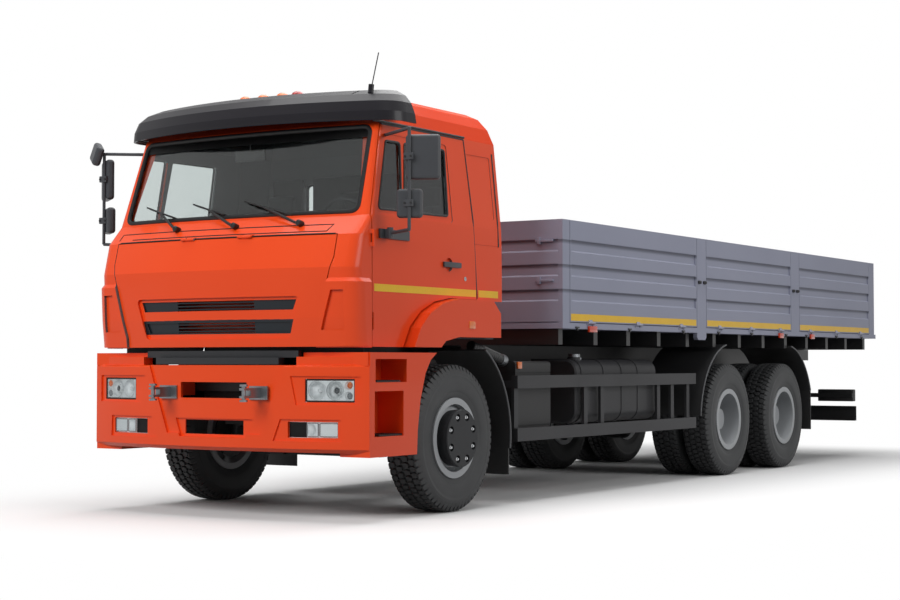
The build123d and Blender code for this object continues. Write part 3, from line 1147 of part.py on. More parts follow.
# Cab floor with its tilt arms
floor_low = FLOOR_BOTTOM_Z
floor_top = FLOOR_BOTTOM_Z + FLOOR_THICKNESS
DOOR_ROOM_X = BODY_HALF_WIDTH - CAB_WALL - 10
cab_inside_y = BULKHEAD_Y + BULKHEAD_WALL
floor = block((-DOOR_ROOM_X, DOOR_ROOM_X), (cab_inside_y, rear_wall_y), (floor_low, floor_top)) & inner_cab
hump = block((-480, 480), (-700, rear_wall_y), (floor_top, floor_top + 220))
tilt_arm = side_prism(outline([(TILT_Y - 28, TILT_Z - 10), (TILT_Y + 30, TILT_Z - 30), (-860, floor_low),
                               (-940, floor_low)]), 455, 495)
tilt_eye = rod((455, TILT_Y, TILT_Z), (495, TILT_Y, TILT_Z), 42)
tilt_arm = tilt_arm + tilt_eye - rod((450, TILT_Y, TILT_Z), (500, TILT_Y, TILT_Z), 21.5)
keep("cab_floor", merge(floor, hump, *both(tilt_arm)))

# Wheel-arch flares on the cab
flare_face = outline([(-640, 1204), (-560, 1340), (-430, 1450), (-260, 1524), (-50, ARCH_TOP_Z),
                      (440, ARCH_TOP_Z),
                      (548, 1465), (548, CAB_REAR_BOTTOM_Z), (-40, CAB_REAR_BOTTOM_Z),
                      (-230, 1250), (-290, 1204)])
flare = side_prism(flare_face, DOOR_ROOM_X, BUMPER_HALF_WIDTH)
pocket_face = outline([(-540, 1200), (-520, 1330), (-400, 1420), (-250, 1495), (-50, ARCH_TOP_Z - 28),
                       (430, ARCH_TOP_Z - 28), (520, 1450), (520, 1200)])
flare -= side_prism(pocket_face, DOOR_ROOM_X + 30, BUMPER_HALF_WIDTH - 26)
keep("wheel_arch_flares", *both(flare))

# Seats, dashboard and steering wheel
SEATS_X = [(700, 480), (0, 400), (-700, 480)]
seats = []
for x, width in SEATS_X:
    base_z = floor_top + (220 if abs(x) < 300 else 0)
    cushion = block((x - width / 2, x + width / 2), (-330, 200), (floor_top + 330, floor_top + 470))
    stand = block((x - width / 3, x + width / 3), (-230, 120), (base_z, floor_top + 330))
    back = side_prism(outline([(130, floor_top + 400), (260, floor_top + 400), (400, floor_top + 900),
                               (320, floor_top + 920)]), x - width / 2, x + width / 2)
    seats.append(merge(cushion, stand, back))
keep("seats", *seats)

DASH_HALF = BODY_HALF_WIDTH - 125
DASH_Z = (1700, 2080)
dash_profile = outline([(cab_inside_y + 1, DASH_Z[0]), (cab_inside_y + 1, DASH_Z[1]), (-900, DASH_Z[1]),
                        (-760, DASH_Z[1] - 120), (-800, DASH_Z[0])])
dash = side_prism(dash_profile, -DASH_HALF, DASH_HALF) & inner_cab
STEERING_X = SEATS_X[0][0] - 60
STEERING_CENTRE = (STEERING_X, -560, DASH_Z[1])
STEERING_RADIUS = 225
column = rod((STEERING_X, -850, DASH_Z[1] - 180), STEERING_CENTRE, 30)
wheel_plane = Plane(origin=STEERING_CENTRE, z_dir=(0, 290, 180))
wheel = wheel_plane * Torus(STEERING_RADIUS, 14)
spokes = wheel_plane * Box(2 * STEERING_RADIUS - 10, 36, 14)
spokes += wheel_plane * Pos(0, -STEERING_RADIUS / 2 + 4, 0) * Box(36, STEERING_RADIUS - 8, 14)
keep("dashboard", merge(dash, column, wheel, spokes))

# Sun visor: a lofted shade round the front of the roof, open below and behind, with the antenna
# Columns: height, front at the centre line, half width, corner radius
VISOR_SECTIONS = [
    (2783, -1135, 1243, 200),
    (2850, -1130, 1238, 200),
    (2925, -1098, 1215, 195),
    (2982, -1030, 1172, 185),
    (3024, -925, 1105, 170),
    (3046, -775, 1000, 150),
]
VISOR_BOW = 1.73e-4
VISOR_REAR_Y = -600
VISOR_WALL = 14
VISOR_NOTCH_X = 880
ANTENNA_FOOT = (1000, -830, 3000)
ANTENNA_TIP = (1032, -778, 3282)


def visor_loft(inset, top_drop):
    plans = []
    for z, front, half, radius in VISOR_SECTIONS:
        front, half = front + inset, half - inset
        plan = bowed_plan(front, half, VISOR_REAR_Y + 250 - front, VISOR_BOW)
        plan = fillet(plan.vertices().group_by(Axis.Y)[0], radius - inset)
        plans.append(Pos(0, 0, z - top_drop) * plan)
    return loft(plans, ruled=True)


visor = visor_loft(0, 0) - visor_loft(VISOR_WALL, VISOR_WALL)
visor -= block((-1300, 1300), (-1400, 0), (2700, VISOR_SECTIONS[0][0]))
rear_slant = outline([(VISOR_REAR_Y - 60, 3100), (VISOR_REAR_Y, 2700), (0, 2700), (0, 3100)])
visor -= side_prism(rear_slant, -1300, 1300)
for x in (-VISOR_NOTCH_X, VISOR_NOTCH_X):
    visor -= block((x - 6, x + 6), (-1100, -700), (2985, 3100))
visor_feet = [block((x - 30, x + 30), (-760, -690), (2950, 3036)) for x in (-600, 600)]
antenna = rod(ANTENNA_FOOT, ANTENNA_TIP, 4)
antenna += rod((ANTENNA_FOOT[0], ANTENNA_FOOT[1], 2990), (1003, -825, 3052), 20)
keep("sun_visor", merge(visor, *visor_feet, antenna) - outer_cab)
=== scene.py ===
import math

import bmesh
import bpy
from mathutils import Matrix, Vector


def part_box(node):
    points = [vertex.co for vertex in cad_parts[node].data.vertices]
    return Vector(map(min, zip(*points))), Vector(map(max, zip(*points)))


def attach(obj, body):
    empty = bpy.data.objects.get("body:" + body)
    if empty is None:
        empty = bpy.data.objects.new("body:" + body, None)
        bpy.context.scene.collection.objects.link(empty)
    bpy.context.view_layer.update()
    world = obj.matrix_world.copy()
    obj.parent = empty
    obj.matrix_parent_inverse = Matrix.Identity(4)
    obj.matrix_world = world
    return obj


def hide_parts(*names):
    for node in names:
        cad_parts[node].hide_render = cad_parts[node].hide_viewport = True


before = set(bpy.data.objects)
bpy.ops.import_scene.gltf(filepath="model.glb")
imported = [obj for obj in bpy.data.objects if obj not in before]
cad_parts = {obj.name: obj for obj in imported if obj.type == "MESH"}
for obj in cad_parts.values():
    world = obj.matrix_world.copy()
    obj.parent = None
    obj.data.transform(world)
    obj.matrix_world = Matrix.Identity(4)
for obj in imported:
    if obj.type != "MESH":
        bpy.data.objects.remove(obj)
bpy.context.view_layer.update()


# Studio camera: it stands off the truck's left front corner at chest height and looks
# slightly up, with a long lens, as in the photograph.
CAMERA_PLACE = (7.997, -14.684, 1.103)
CAMERA_AZIMUTH = math.radians(32.34)
CAMERA_PITCH = math.radians(2.02)
camera_data = bpy.data.cameras.new("studio_camera")
camera_data.lens = 69.66
camera_data.sensor_width = 36
camera = bpy.data.objects.new("studio_camera", camera_data)
bpy.context.collection.objects.link(camera)
camera.location = CAMERA_PLACE
sight = Vector((-math.sin(CAMERA_AZIMUTH) * math.cos(CAMERA_PITCH),
                math.cos(CAMERA_AZIMUTH) * math.cos(CAMERA_PITCH), math.sin(CAMERA_PITCH)))
camera.rotation_mode = "QUATERNION"
camera.rotation_quaternion = sight.to_track_quat("-Z", "Y")
bpy.context.scene.camera = camera


# Studio floor: one wide sheet of pale paper under the tyres. It keeps the truck's soft shadow
# near by and fades into plain white further off; what it throws back on the truck is duller.
def linear(code):
    """An sRGB hex colour as linear RGBA."""
    parts = [int(code[i:i + 2], 16) / 255 for i in (1, 3, 5)]
    return tuple(p / 12.92 if p <= 0.04045 else ((p + 0.055) / 1.055) ** 2.4 for p in parts) + (1.0,)


def add(tree, kind, inputs=None, **settings):
    """Adds a shader node: settings are its own properties, inputs are values or other nodes' sockets."""
    node = tree.nodes.new("ShaderNode" + kind)
    for key, value in settings.items():
        setattr(node, key, value)
    for key, value in (inputs or {}).items():
        if isinstance(value, bpy.types.NodeSocket):
            tree.links.new(value, node.inputs[key])
        else:
            node.inputs[key].default_value = value
    return node


def empty_material(name):
    """A material with no nodes yet, and its tree."""
    material = bpy.data.materials.new(name)
    material.use_nodes = True
    material.node_tree.nodes.clear()
    return material, material.node_tree


FLOOR_HALF = 60
FOOTPRINT = (1.30, 5.20, 0.0)
FADE_START, FADE_END = 0.45, 2.5
floor_mesh = bpy.data.meshes.new("studio_floor")
floor_mesh.from_pydata([(-FLOOR_HALF, -FLOOR_HALF, 0), (FLOOR_HALF, -FLOOR_HALF, 0),
                        (FLOOR_HALF, FLOOR_HALF, 0), (-FLOOR_HALF, FLOOR_HALF, 0)], [], [(0, 1, 2, 3)])
floor = bpy.data.objects.new("studio_floor", floor_mesh)
bpy.context.collection.objects.link(floor)
paper, tree = empty_material("studio_paper")
path = add(tree, "LightPath")
seen = add(tree, "Math", {0: path.outputs["Is Camera Ray"], 1: path.outputs["Is Glossy Ray"]},
           operation="MAXIMUM")
seen = add(tree, "Math", {0: seen.outputs[0], 1: path.outputs["Is Transmission Ray"]}, operation="MAXIMUM")
tone = add(tree, "Mix", {0: seen.outputs[0], 6: linear("#7c7c7c"), 7: linear("#f4f4f4")}, data_type="RGBA")
matt = add(tree, "BsdfDiffuse", {"Color": tone.outputs[2]})
place = add(tree, "TexCoord").outputs["Object"]
reach = add(tree, "VectorMath", {0: place}, operation="ABSOLUTE")
reach = add(tree, "VectorMath", {0: reach.outputs[0], 1: FOOTPRINT}, operation="SUBTRACT")
reach = add(tree, "VectorMath", {0: reach.outputs[0], 1: (0, 0, 0)}, operation="MAXIMUM")
distance = add(tree, "VectorMath", {0: reach.outputs[0]}, operation="LENGTH")
fade = add(tree, "MapRange", {"Value": distance.outputs["Value"], "From Min": FADE_START,
                              "From Max": FADE_END}, interpolation_type="SMOOTHSTEP")
share = add(tree, "Math", {0: fade.outputs[0], 1: seen.outputs[0]}, operation="MULTIPLY")
white = add(tree, "Emission", {"Color": (1, 1, 1, 1), "Strength": 1.0})
blend = add(tree, "MixShader", {0: share.outputs[0], 1: matt.outputs[0], 2: white.outputs[0]})
add(tree, "OutputMaterial", {"Surface": blend.outputs[0]})
floor_mesh.materials.append(paper)


# Studio light: an even white room, a wide overhead softbox and a soft key from the camera's
# left, so that fronts are bright, sides are a little darker and the shadow falls to the right.
world = bpy.data.worlds.new("studio_room")
bpy.context.scene.world = world
world.use_nodes = True
tree = world.node_tree
tree.nodes.clear()
path = add(tree, "LightPath")
seen = add(tree, "Math", {0: path.outputs["Is Camera Ray"], 1: path.outputs["Is Transmission Ray"]},
           operation="MAXIMUM")
AMBIENT = 0.20
MIRRORED = 0.66
dim = add(tree, "Mix", {0: path.outputs["Is Glossy Ray"], 2: AMBIENT, 3: MIRRORED}, data_type="FLOAT")
level = add(tree, "Mix", {0: seen.outputs[0], 2: dim.outputs[0], 3: 1.0}, data_type="FLOAT")
room = add(tree, "Background", {"Color": (1, 1, 1, 1), "Strength": level.outputs[0]})
add(tree, "OutputWorld", {"Surface": room.outputs[0]})


def softbox(name, place, target, width, height, power, gloss):
    """A rectangular lamp that faces a target point. gloss is how much it shows in shiny faces,
    and at 0 it isn't mirrored at all."""
    data = bpy.data.lights.new(name, "AREA")
    data.shape = "RECTANGLE"
    data.size, data.size_y, data.energy, data.specular_factor = width, height, power, gloss
    lamp = bpy.data.objects.new(name, data)
    bpy.context.collection.objects.link(lamp)
    lamp.location = place
    lamp.rotation_mode = "QUATERNION"
    lamp.rotation_quaternion = (Vector(target) - Vector(place)).to_track_quat("-Z", "Y")
    lamp.visible_glossy = lamp.visible_transmission = gloss > 0


softbox("overhead_softbox", (0, 0, 9), (0, 0, 0), 8, 14, 950, 0.3)
softbox("key_softbox", (-1.0, -16, 8), (0, -4, 1.4), 8, 6, 1250, 0.0)
softbox("side_softbox", (14, -2, 7), (0, 0, 1.4), 8, 6, 640, 0.6)

bpy.context.scene.view_settings.view_transform = "Standard"


# Cab and bumper panels: pressed steel and moulded plastic in gloss orange-red enamel, baked
# on. It gives a strong even colour with a clear gloss coat and a faint orange-peel ripple.
def enamel(name, code, shade, peel_mm, roughness, coat, peel=0.12, hidden=None):
    """Baked enamel: its colour drifts a little between two shades, under a fine ripple.
    hidden, if given, is a function that adds a mask for a second colour, and that colour."""
    material, tree = empty_material(name)
    place = add(tree, "TexCoord").outputs["Object"]
    drift = add(tree, "TexNoise", {"Vector": place, "Scale": 1000 / 850, "Detail": 3.0})
    colour = add(tree, "Mix", {0: drift.outputs[0], 6: linear(code), 7: linear(shade)}, data_type="RGBA")
    ripple = add(tree, "TexNoise", {"Vector": place, "Scale": 1000 / peel_mm, "Detail": 1.0})
    bump = add(tree, "Bump", {"Height": ripple.outputs[0], "Distance": 0.0004, "Strength": peel})
    dulled = add(tree, "MapRange", {"Value": drift.outputs[0], "From Min": 0.3, "From Max": 0.7,
                                    "To Min": roughness, "To Max": roughness + 0.07})
    rough = dulled.outputs[0]
    if hidden:
        mask = hidden[0](tree, place)
        colour = add(tree, "Mix", {0: mask, 6: colour.outputs[2], 7: linear(hidden[1])}, data_type="RGBA")
        rough = add(tree, "Mix", {0: mask, 2: rough, 3: 0.62}, data_type="FLOAT").outputs[0]
    shader = add(tree, "BsdfPrincipled", {"Base Color": colour.outputs[2], "Roughness": rough,
                                          "Coat Weight": coat, "Coat Roughness": 0.06,
                                          "Specular IOR Level": 0.22, "Normal": bump.outputs[0]})
    add(tree, "OutputMaterial", {"Surface": shader.outputs[0]})
    return material


def dress(material, *nodes):
    """Gives CAD nodes their finish."""
    for node in nodes:
        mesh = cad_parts[node].data
        mesh.materials.clear()
        mesh.materials.append(material)


front_tyre_low, front_tyre_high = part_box("tyre_front_left")
AXLE_Y = (front_tyre_low.y + front_tyre_high.y) / 2
AXLE_Z = (front_tyre_low.z + front_tyre_high.z) / 2
CAB_CENTRE = (0.0, AXLE_Y - 0.28, 2.05)


def faces_in(tree, place):
    """A mask for the cab shell's inner faces, which carry grey trim and not enamel."""
    outward = add(tree, "VectorMath", {0: place, 1: CAB_CENTRE}, operation="SUBTRACT")
    normal = add(tree, "TexCoord").outputs["Normal"]
    facing = add(tree, "VectorMath", {0: outward.outputs[0], 1: normal}, operation="DOT_PRODUCT")
    return add(tree, "Math", {0: facing.outputs["Value"], 1: -0.02}, operation="LESS_THAN").outputs[0]


ORANGE, ORANGE_SHADE = "#f04e1a", "#ea4716"
TRIM_GREY = "#74787a"
cab_shell = enamel("orange_cab_shell", ORANGE, ORANGE_SHADE, 9, 0.34, 0.24, hidden=(faces_in, TRIM_GREY))
dress(cab_shell, "cab_rear_wall", "cab_sides", "cab_front", "door_left", "door_right")
# The roof takes a darker, rougher copy of the orange enamel, without the clear coat.
dress(enamel("darker_orange_roof", "#e8440f", "#e03c0c", 9, 0.62, 0.0, hidden=(faces_in, TRIM_GREY)),
      "cab_roof")
body_enamel = enamel("orange_body_enamel", ORANGE, ORANGE_SHADE, 9, 0.34, 0.24)
dress(body_enamel, "wheel_arch_flares", "bumper", "step_panels")


# Front panel: the same enamel, with dark moulded plates and blades deep in its two air slots.
def within(tree, value, low, high):
    """A mask that is 1 where a value lies between two limits."""
    above = add(tree, "Math", {0: value, 1: low}, operation="GREATER_THAN")
    below = add(tree, "Math", {0: value, 1: high}, operation="LESS_THAN")
    return add(tree, "Math", {0: above.outputs[0], 1: below.outputs[0]}, operation="MULTIPLY").outputs[0]


def in_slots(tree, place):
    """A mask for what lies deep behind the front panel's face."""
    split = add(tree, "SeparateXYZ", {0: place})
    bow = add(tree, "Math", {0: split.outputs[0], 1: split.outputs[0]}, operation="MULTIPLY")
    bow = add(tree, "Math", {0: bow.outputs[0], 1: 0.079}, operation="MULTIPLY")
    depth = add(tree, "Math", {0: split.outputs[1], 1: bow.outputs[0]}, operation="SUBTRACT")
    deep = within(tree, depth.outputs[0], AXLE_Y - 1.3275, AXLE_Y - 1.0)
    row = within(tree, split.outputs[2], 1.296, 1.538)
    return add(tree, "Math", {0: deep, 1: row}, operation="MULTIPLY").outputs[0]


dress(enamel("orange_front_panel", ORANGE, ORANGE_SHADE, 9, 0.34, 0.24, hidden=(in_slots, "#1b2025")),
      "front_panel")


# Glazing: laminated float glass, faintly grey. It lets the dark cab and the bright windows
# behind it show, and mirrors the room. The driver's door glass is the darker privacy kind.
def glazing(name, code, shade):
    """Thin clear glass of a tint, with a faint roller wave."""
    material, tree = empty_material(name)
    place = add(tree, "TexCoord").outputs["Object"]
    roll = add(tree, "TexNoise", {"Vector": place, "Scale": 1000 / 600, "Detail": 1.0})
    wave = add(tree, "Bump", {"Height": roll.outputs[0], "Distance": 0.0006, "Strength": 0.15})
    tint = add(tree, "Mix", {0: roll.outputs[0], 6: linear(code), 7: linear(shade)}, data_type="RGBA")
    shader = add(tree, "BsdfPrincipled", {"Base Color": tint.outputs[2], "Roughness": 0.02, "IOR": 1.45,
                                          "Transmission Weight": 1.0, "Normal": wave.outputs[0]})
    add(tree, "OutputMaterial", {"Surface": shader.outputs[0]})
    return material


clear_glass = glazing("tinted_cab_glass", "#e6ebea", "#dde3e2")
dress(clear_glass, "cab_glass", "door_glass_right")
dress(glazing("dark_door_glass", "#8b9092", "#82878a"), "door_glass_left")


# Rubber seals: black extruded profiles that hold the glass and close the door gaps. They are
# drawn as one line round each opening, laid on the cab's own sloping skin.
def soft_black(name, code, shade, grain_mm, roughness, depth=0.0003):
    """Rubber or grained plastic: a dull black with a pebbled surface that scatters the light."""
    material, tree = empty_material(name)
    place = add(tree, "TexCoord").outputs["Object"]
    bloom = add(tree, "TexNoise", {"Vector": place, "Scale": 1000 / 240, "Detail": 4.0})
    colour = add(tree, "Mix", {0: bloom.outputs[0], 6: linear(code), 7: linear(shade)}, data_type="RGBA")
    pebble = add(tree, "TexVoronoi", {"Vector": place, "Scale": 1000 / grain_mm})
    bump = add(tree, "Bump", {"Height": pebble.outputs[0], "Distance": depth, "Strength": 0.35})
    shader = add(tree, "BsdfPrincipled", {"Base Color": colour.outputs[2], "Roughness": roughness,
                                          "Normal": bump.outputs[0]})
    add(tree, "OutputMaterial", {"Surface": shader.outputs[0]})
    return material


def show(name, data, material, body):
    """Puts a finished mesh or curve in the scene, riding on its body."""
    piece = bpy.data.objects.new(name, data)
    bpy.context.collection.objects.link(piece)
    data.materials.append(material)
    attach(piece, body)
    return piece


def bent_bars(name, runs, radius, material, body, smooth=False, cyclic=False):
    """Round bars, one for each run of points."""
    curve = bpy.data.curves.new(name, "CURVE")
    curve.dimensions = "3D"
    curve.bevel_depth = radius
    curve.bevel_resolution = 3
    curve.use_fill_caps = True
    for points in runs:
        spline = curve.splines.new("NURBS" if smooth else "POLY")
        spline.points.add(len(points) - 1)
        for target, point in zip(spline.points, points):
            target.co = (*point, 1.0)
        if smooth:
            spline.order_u = 3
            spline.use_endpoint_u = not cyclic
        spline.use_cyclic_u = cyclic
    return show(name, curve, material, body)


def at(x, y, z):
    """A place given from the front axle: left, rearwards and up, in metres."""
    return Vector((x, y + AXLE_Y, z))


# Columns: height, front at the centre line, half width
CAB_SKIN = [(1.198, -1.325, 1.165), (1.400, -1.348, 1.165), (1.745, -1.366, 1.165), (1.974, -1.306, 1.163),
            (2.112, -1.168, 1.159), (2.775, -0.948, 1.092), (2.890, -0.812, 1.052), (2.970, -0.705, 1.000),
            (3.006, -0.620, 0.930), (3.022, -0.500, 0.820)]
CAB_BOW = 0.079


def skin(column, z):
    """The cab skin's front place (column 1) or half width (column 2) at a height."""
    for low, high in zip(CAB_SKIN, CAB_SKIN[1:]):
        if z <= high[0]:
            return low[column] + (high[column] - low[column]) * (z - low[0]) / (high[0] - low[0])
    return CAB_SKIN[-1][column]


def on_front(x, z, proud=0.0):
    """A point on the cab's bowed front."""
    return at(x, skin(1, z) + CAB_BOW * x * x - proud, z)


def on_side(side, y, z, proud=0.0):
    """A point on the cab's left (1) or right (-1) skin."""
    return at(side * (skin(2, z) + proud), y, z)


def rounded(points, radius, steps=5):
    """A closed outline with its corners rounded, in two numbers."""
    result = []
    count = len(points)
    for i, corner in enumerate(points):
        corner = Vector(corner)
        before = (Vector(points[i - 1]) - corner).normalized()
        after = (Vector(points[(i + 1) % count]) - corner).normalized()
        turn = before.angle(after)
        reach = min(radius / math.tan(turn / 2), 0.45 * (Vector(points[i - 1]) - corner).length,
                    0.45 * (Vector(points[(i + 1) % count]) - corner).length)
        start, end = corner + before * reach, corner + after * reach
        for k in range(steps + 1):
            t = k / steps
            result.append((1 - t) ** 2 * start + 2 * t * (1 - t) * corner + t * t * end)
    return result


def divided(points, step):
    """The same closed outline with long sides cut into short ones."""
    result = []
    for a, b in zip(points, points[1:] + points[:1]):
        a, b = Vector(a), Vector(b)
        count = max(1, math.ceil((b - a).length / step))
        result += [a.lerp(b, k / count) for k in range(count)]
    return result


def spread(low, high, count):
    """Evenly spaced numbers from low to high."""
    return [low + (high - low) * k / (count - 1) for k in range(count)]


seal_rubber = soft_black("black_seal_rubber", "#141415", "#1c1c1d", 6, 0.62)
WINDSCREEN = [(1.062, 2.136), (1.034, 2.748), (-1.034, 2.748), (-1.062, 2.136)]
screen_line = divided(rounded(WINDSCREEN, 0.060), 0.08)
bent_bars("windscreen_seal", [[on_front(p.x, p.y, -0.004) for p in screen_line]], 0.017, seal_rubber, "cab",
          cyclic=True)
DOOR_PANES = [[(-0.948, 2.160), (-0.790, 2.652), (-0.612, 2.655), (-0.660, 2.165)],
              [(-0.628, 2.160), (-0.556, 2.656), (-0.026, 2.662), (-0.052, 2.170)]]
for side, name in ((1, "left"), (-1, "right")):
    lines = [[on_side(side, p.x, p.y, -0.006) for p in divided(rounded(pane, 0.025), 0.1)]
             for pane in DOOR_PANES]
    bent_bars(f"door_window_seals_{name}", lines, 0.009, seal_rubber, f"door_{name}", cyclic=True)
DOOR_GAP = [(-0.834, 2.770), (0.250, 2.770), (0.292, 2.165), (0.333, 1.575)]
QUARTER_EDGE = [(0.652, 2.700), (0.652, 2.165), (0.652, 1.982)]
for side, name in ((1, "left"), (-1, "right")):
    lines = [[on_side(side, y, z, -0.003) for y, z in DOOR_GAP],
             [on_side(side, y, z, -0.002) for y, z in QUARTER_EDGE]]
    bent_bars(f"door_gap_seal_{name}", lines, 0.0085, seal_rubber, "cab")
COWL_SEAM = [(-1.020, 1.998), (-1.020, 2.045), (0.930, 2.045), (0.905, 1.996)]
seam_line = [on_front(p.x, p.y, -0.0015) for p in divided([Vector(p) for p in COWL_SEAM], 0.08)]
lid_line = [on_front(x, 1.9785, -0.0015) for x in spread(-0.985, 0.985, 25)]
bent_bars("cowl_seams", [seam_line[:-1], lid_line], 0.005, seal_rubber, "cab")
REAR_PANES = [(0.230, 2.150), (0.230, 2.560), (0.700, 2.560), (0.700, 2.150)]
cab_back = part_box("cab_rear_wall")[1].y
lines = [[Vector((side * p.x, cab_back + 0.001, p.y)) for p in rounded(REAR_PANES, 0.05)] for side in (1, -1)]
bent_bars("rear_window_seals", lines, 0.012, seal_rubber, "cab", cyclic=True)


# Windscreen shade band: black ceramic paint along the glass's top edge, and the driver's inside
# mirror on its stalk, both behind the glass.
def strip(name, rows, material, body, thickness=0.0):
    """A thin sheet through rows of points, given a thickness if it has one."""
    bm = bmesh.new()
    grid = [[bm.verts.new(point) for point in row] for row in rows]
    for low, high in zip(grid, grid[1:]):
        for k in range(len(low) - 1):
            bm.faces.new((low[k], low[k + 1], high[k + 1], high[k]))
    if thickness:
        bmesh.ops.solidify(bm, geom=bm.faces[:], thickness=thickness)
    return show(name, merged_mesh(name, bm), material, body)


def merged_mesh(name, bm):
    """Turns a finished bmesh into a mesh with smooth faces and crisp edges."""
    bmesh.ops.recalc_face_normals(bm, faces=bm.faces)
    mesh = bpy.data.meshes.new(name)
    bm.to_mesh(mesh)
    bm.free()
    for face in mesh.polygons:
        face.use_smooth = True
    mesh.set_sharp_from_angle(angle=math.radians(35))
    return mesh


def bevelled_boxes(name, boxes, bevel):
    """A mesh of boxes, each given as its low and high corner, with rounded edges."""
    bm = bmesh.new()
    for low, high in boxes:
        middle, size = (Vector(low) + Vector(high)) / 2, Vector(high) - Vector(low)
        turn = Matrix.Translation(middle) @ Matrix.Diagonal((*size, 1.0))
        bmesh.ops.create_cube(bm, size=1.0, matrix=turn)
    bmesh.ops.bevel(bm, geom=bm.edges[:], offset=bevel, segments=2, affect="EDGES", profile=0.6)
    return merged_mesh(name, bm)


def boxed(name, boxes, bevel, material, body):
    """One piece made of boxes with rounded edges."""
    return show(name, bevelled_boxes(name, boxes, bevel), material, body)


def either_side(side, x, y, z):
    """A box on the left (1) or right (-1), its three extents given from the front axle."""
    low_x, high_x = sorted((side * x[0], side * x[1]))
    return at(low_x, y[0], z[0]), at(high_x, y[1], z[1])


band_ink = soft_black("ceramic_band_ink", "#0c0c0d", "#111112", 2, 0.35, 0.0001)
rows = [[on_front(x * (1.034 - 0.004 * k), z, -0.007) for x in spread(-1, 1, 25)]
        for k, z in enumerate((2.748, 2.722, 2.696, 2.672))]
strip("windscreen_shade_band", rows, band_ink, "cab", 0.0015)
mirror_spot = on_front(0.0, 2.60, -0.085)
head = (mirror_spot + Vector((-0.135, -0.012, -0.042)), mirror_spot + Vector((0.135, 0.012, 0.042)))
stalk = (mirror_spot + Vector((-0.008, -0.006, 0.035)), mirror_spot + Vector((0.008, 0.010, 0.120)))
boxed("inside_mirror", [head, stalk], 0.005, band_ink, "cab")


# Wipers: three black-painted steel arms on capped spindles along the cowl, each with a
# jointed blade that lies on the glass.
def lathe_into(bm, profile, origin, axis, segments):
    """Turns (along, radius) points about an axis through origin, into a bmesh."""
    axis = Vector(axis).normalized()
    side = axis.orthogonal().normalized()
    other = axis.cross(side)
    rings = []
    for along, radius in profile:
        centre = Vector(origin) + axis * along
        if radius < 1e-6:
            rings.append([bm.verts.new(centre)])
            continue
        rings.append([bm.verts.new(centre + (side * math.cos(a) + other * math.sin(a)) * radius)
                      for a in (2 * math.pi * k / segments for k in range(segments))])
    for first, second in zip(rings, rings[1:]):
        for k in range(segments):
            n = (k + 1) % segments
            corners = [first[k % len(first)], first[n % len(first)],
                       second[n % len(second)], second[k % len(second)]]
            unique = list(dict.fromkeys(corners))
            if len(unique) > 2:
                bm.faces.new(unique)


def turned(name, parts, material, body, segments=32):
    """One piece made of lathe-turned parts, each (profile, origin, axis)."""
    bm = bmesh.new()
    for profile, origin, axis in parts:
        lathe_into(bm, profile, origin, axis, segments)
    return show(name, merged_mesh(name, bm), material, body)


wiper_black = soft_black("black_wiper_paint", "#101011", "#171718", 4, 0.42)
# Columns: spindle (x, z), blade tip (x, z), blade heel (x, z)
WIPERS = [((-0.435, 2.054), (-0.865, 2.251), (-0.480, 2.140)),
          ((0.117, 2.054), (-0.375, 2.249), (0.020, 2.137)),
          ((0.670, 2.054), (0.116, 2.247), (0.545, 2.128))]
SPINDLE_CAP = [(0.0, 0.024), (0.045, 0.021), (0.052, 0.012), (0.052, 0.0)]
blade_runs, arm_runs, cap_parts = [], [], []
for spindle, tip, heel in WIPERS:
    tip, heel = Vector(tip), Vector(heel)
    middle = tip.lerp(heel, 0.48)
    lip = (tip, tip.lerp(heel, 0.33), tip.lerp(heel, 0.66), heel)
    yoke = (tip.lerp(heel, 0.12), middle, tip.lerp(heel, 0.86))
    blade_runs.append([on_front(p.x, p.y, 0.008) for p in lip])
    blade_runs.append([on_front(p.x, p.y, 0.022) for p in yoke])
    elbow = Vector(spindle).lerp(middle, 0.25)
    arm_runs.append([on_front(*spindle, 0.030), on_front(*elbow, 0.045), on_front(*middle, 0.030)])
    cap_parts.append((SPINDLE_CAP, on_front(*spindle, 0.0), (0, -1, 0.3)))
bent_bars("wiper_blades", blade_runs, 0.006, wiper_black, "cab")
bent_bars("wiper_arms", arm_runs, 0.010, wiper_black, "cab")
turned("wiper_spindle_caps", cap_parts, wiper_black, "cab")


# Sun visor: a vacuum-formed smoked acrylic blade over the windscreen, glossy on the outside,
# held to the roof's corners by capped screws.
visor_plastic = enamel("smoked_visor_plastic", "#131117", "#19171d", 14, 0.36, 0.12, 0.06)
dress(visor_plastic, "sun_visor")
SCREW_HEAD = [(0.0, 0.011), (0.004, 0.011), (0.007, 0.007), (0.007, 0.0)]
screws = [(SCREW_HEAD, at(x, -1.110 + 0.173 * x * x, 2.800), (0, -1, 0.75))
          for x in (-0.90, -0.33, 0.33, 0.90)]
turned("visor_screws", screws, wiper_black, "cab", 16)


# Roof marker lamps: four small domed lenses in dark sockets on the roof behind the visor's
# top edge, three amber and one red.
def lens(name, code, shade, ribs_mm, roughness=0.12):
    """Moulded lens plastic: a deep even colour with fine ribs behind a glossy face."""
    material, tree = empty_material(name)
    place = add(tree, "TexCoord").outputs["Object"]
    ribs = add(tree, "TexWave", {"Vector": place, "Scale": 1000 / (ribs_mm * 20), "Distortion": 0.4},
               bands_direction="X")
    colour = add(tree, "Mix", {0: ribs.outputs[1], 6: linear(code), 7: linear(shade)}, data_type="RGBA")
    bump = add(tree, "Bump", {"Height": ribs.outputs[1], "Distance": 0.0006, "Strength": 0.4})
    shader = add(tree, "BsdfPrincipled", {"Base Color": colour.outputs[2], "Roughness": roughness,
                                          "Coat Weight": 0.5, "Coat Roughness": 0.04,
                                          "Normal": bump.outputs[0]})
    add(tree, "OutputMaterial", {"Surface": shader.outputs[0]})
    return material


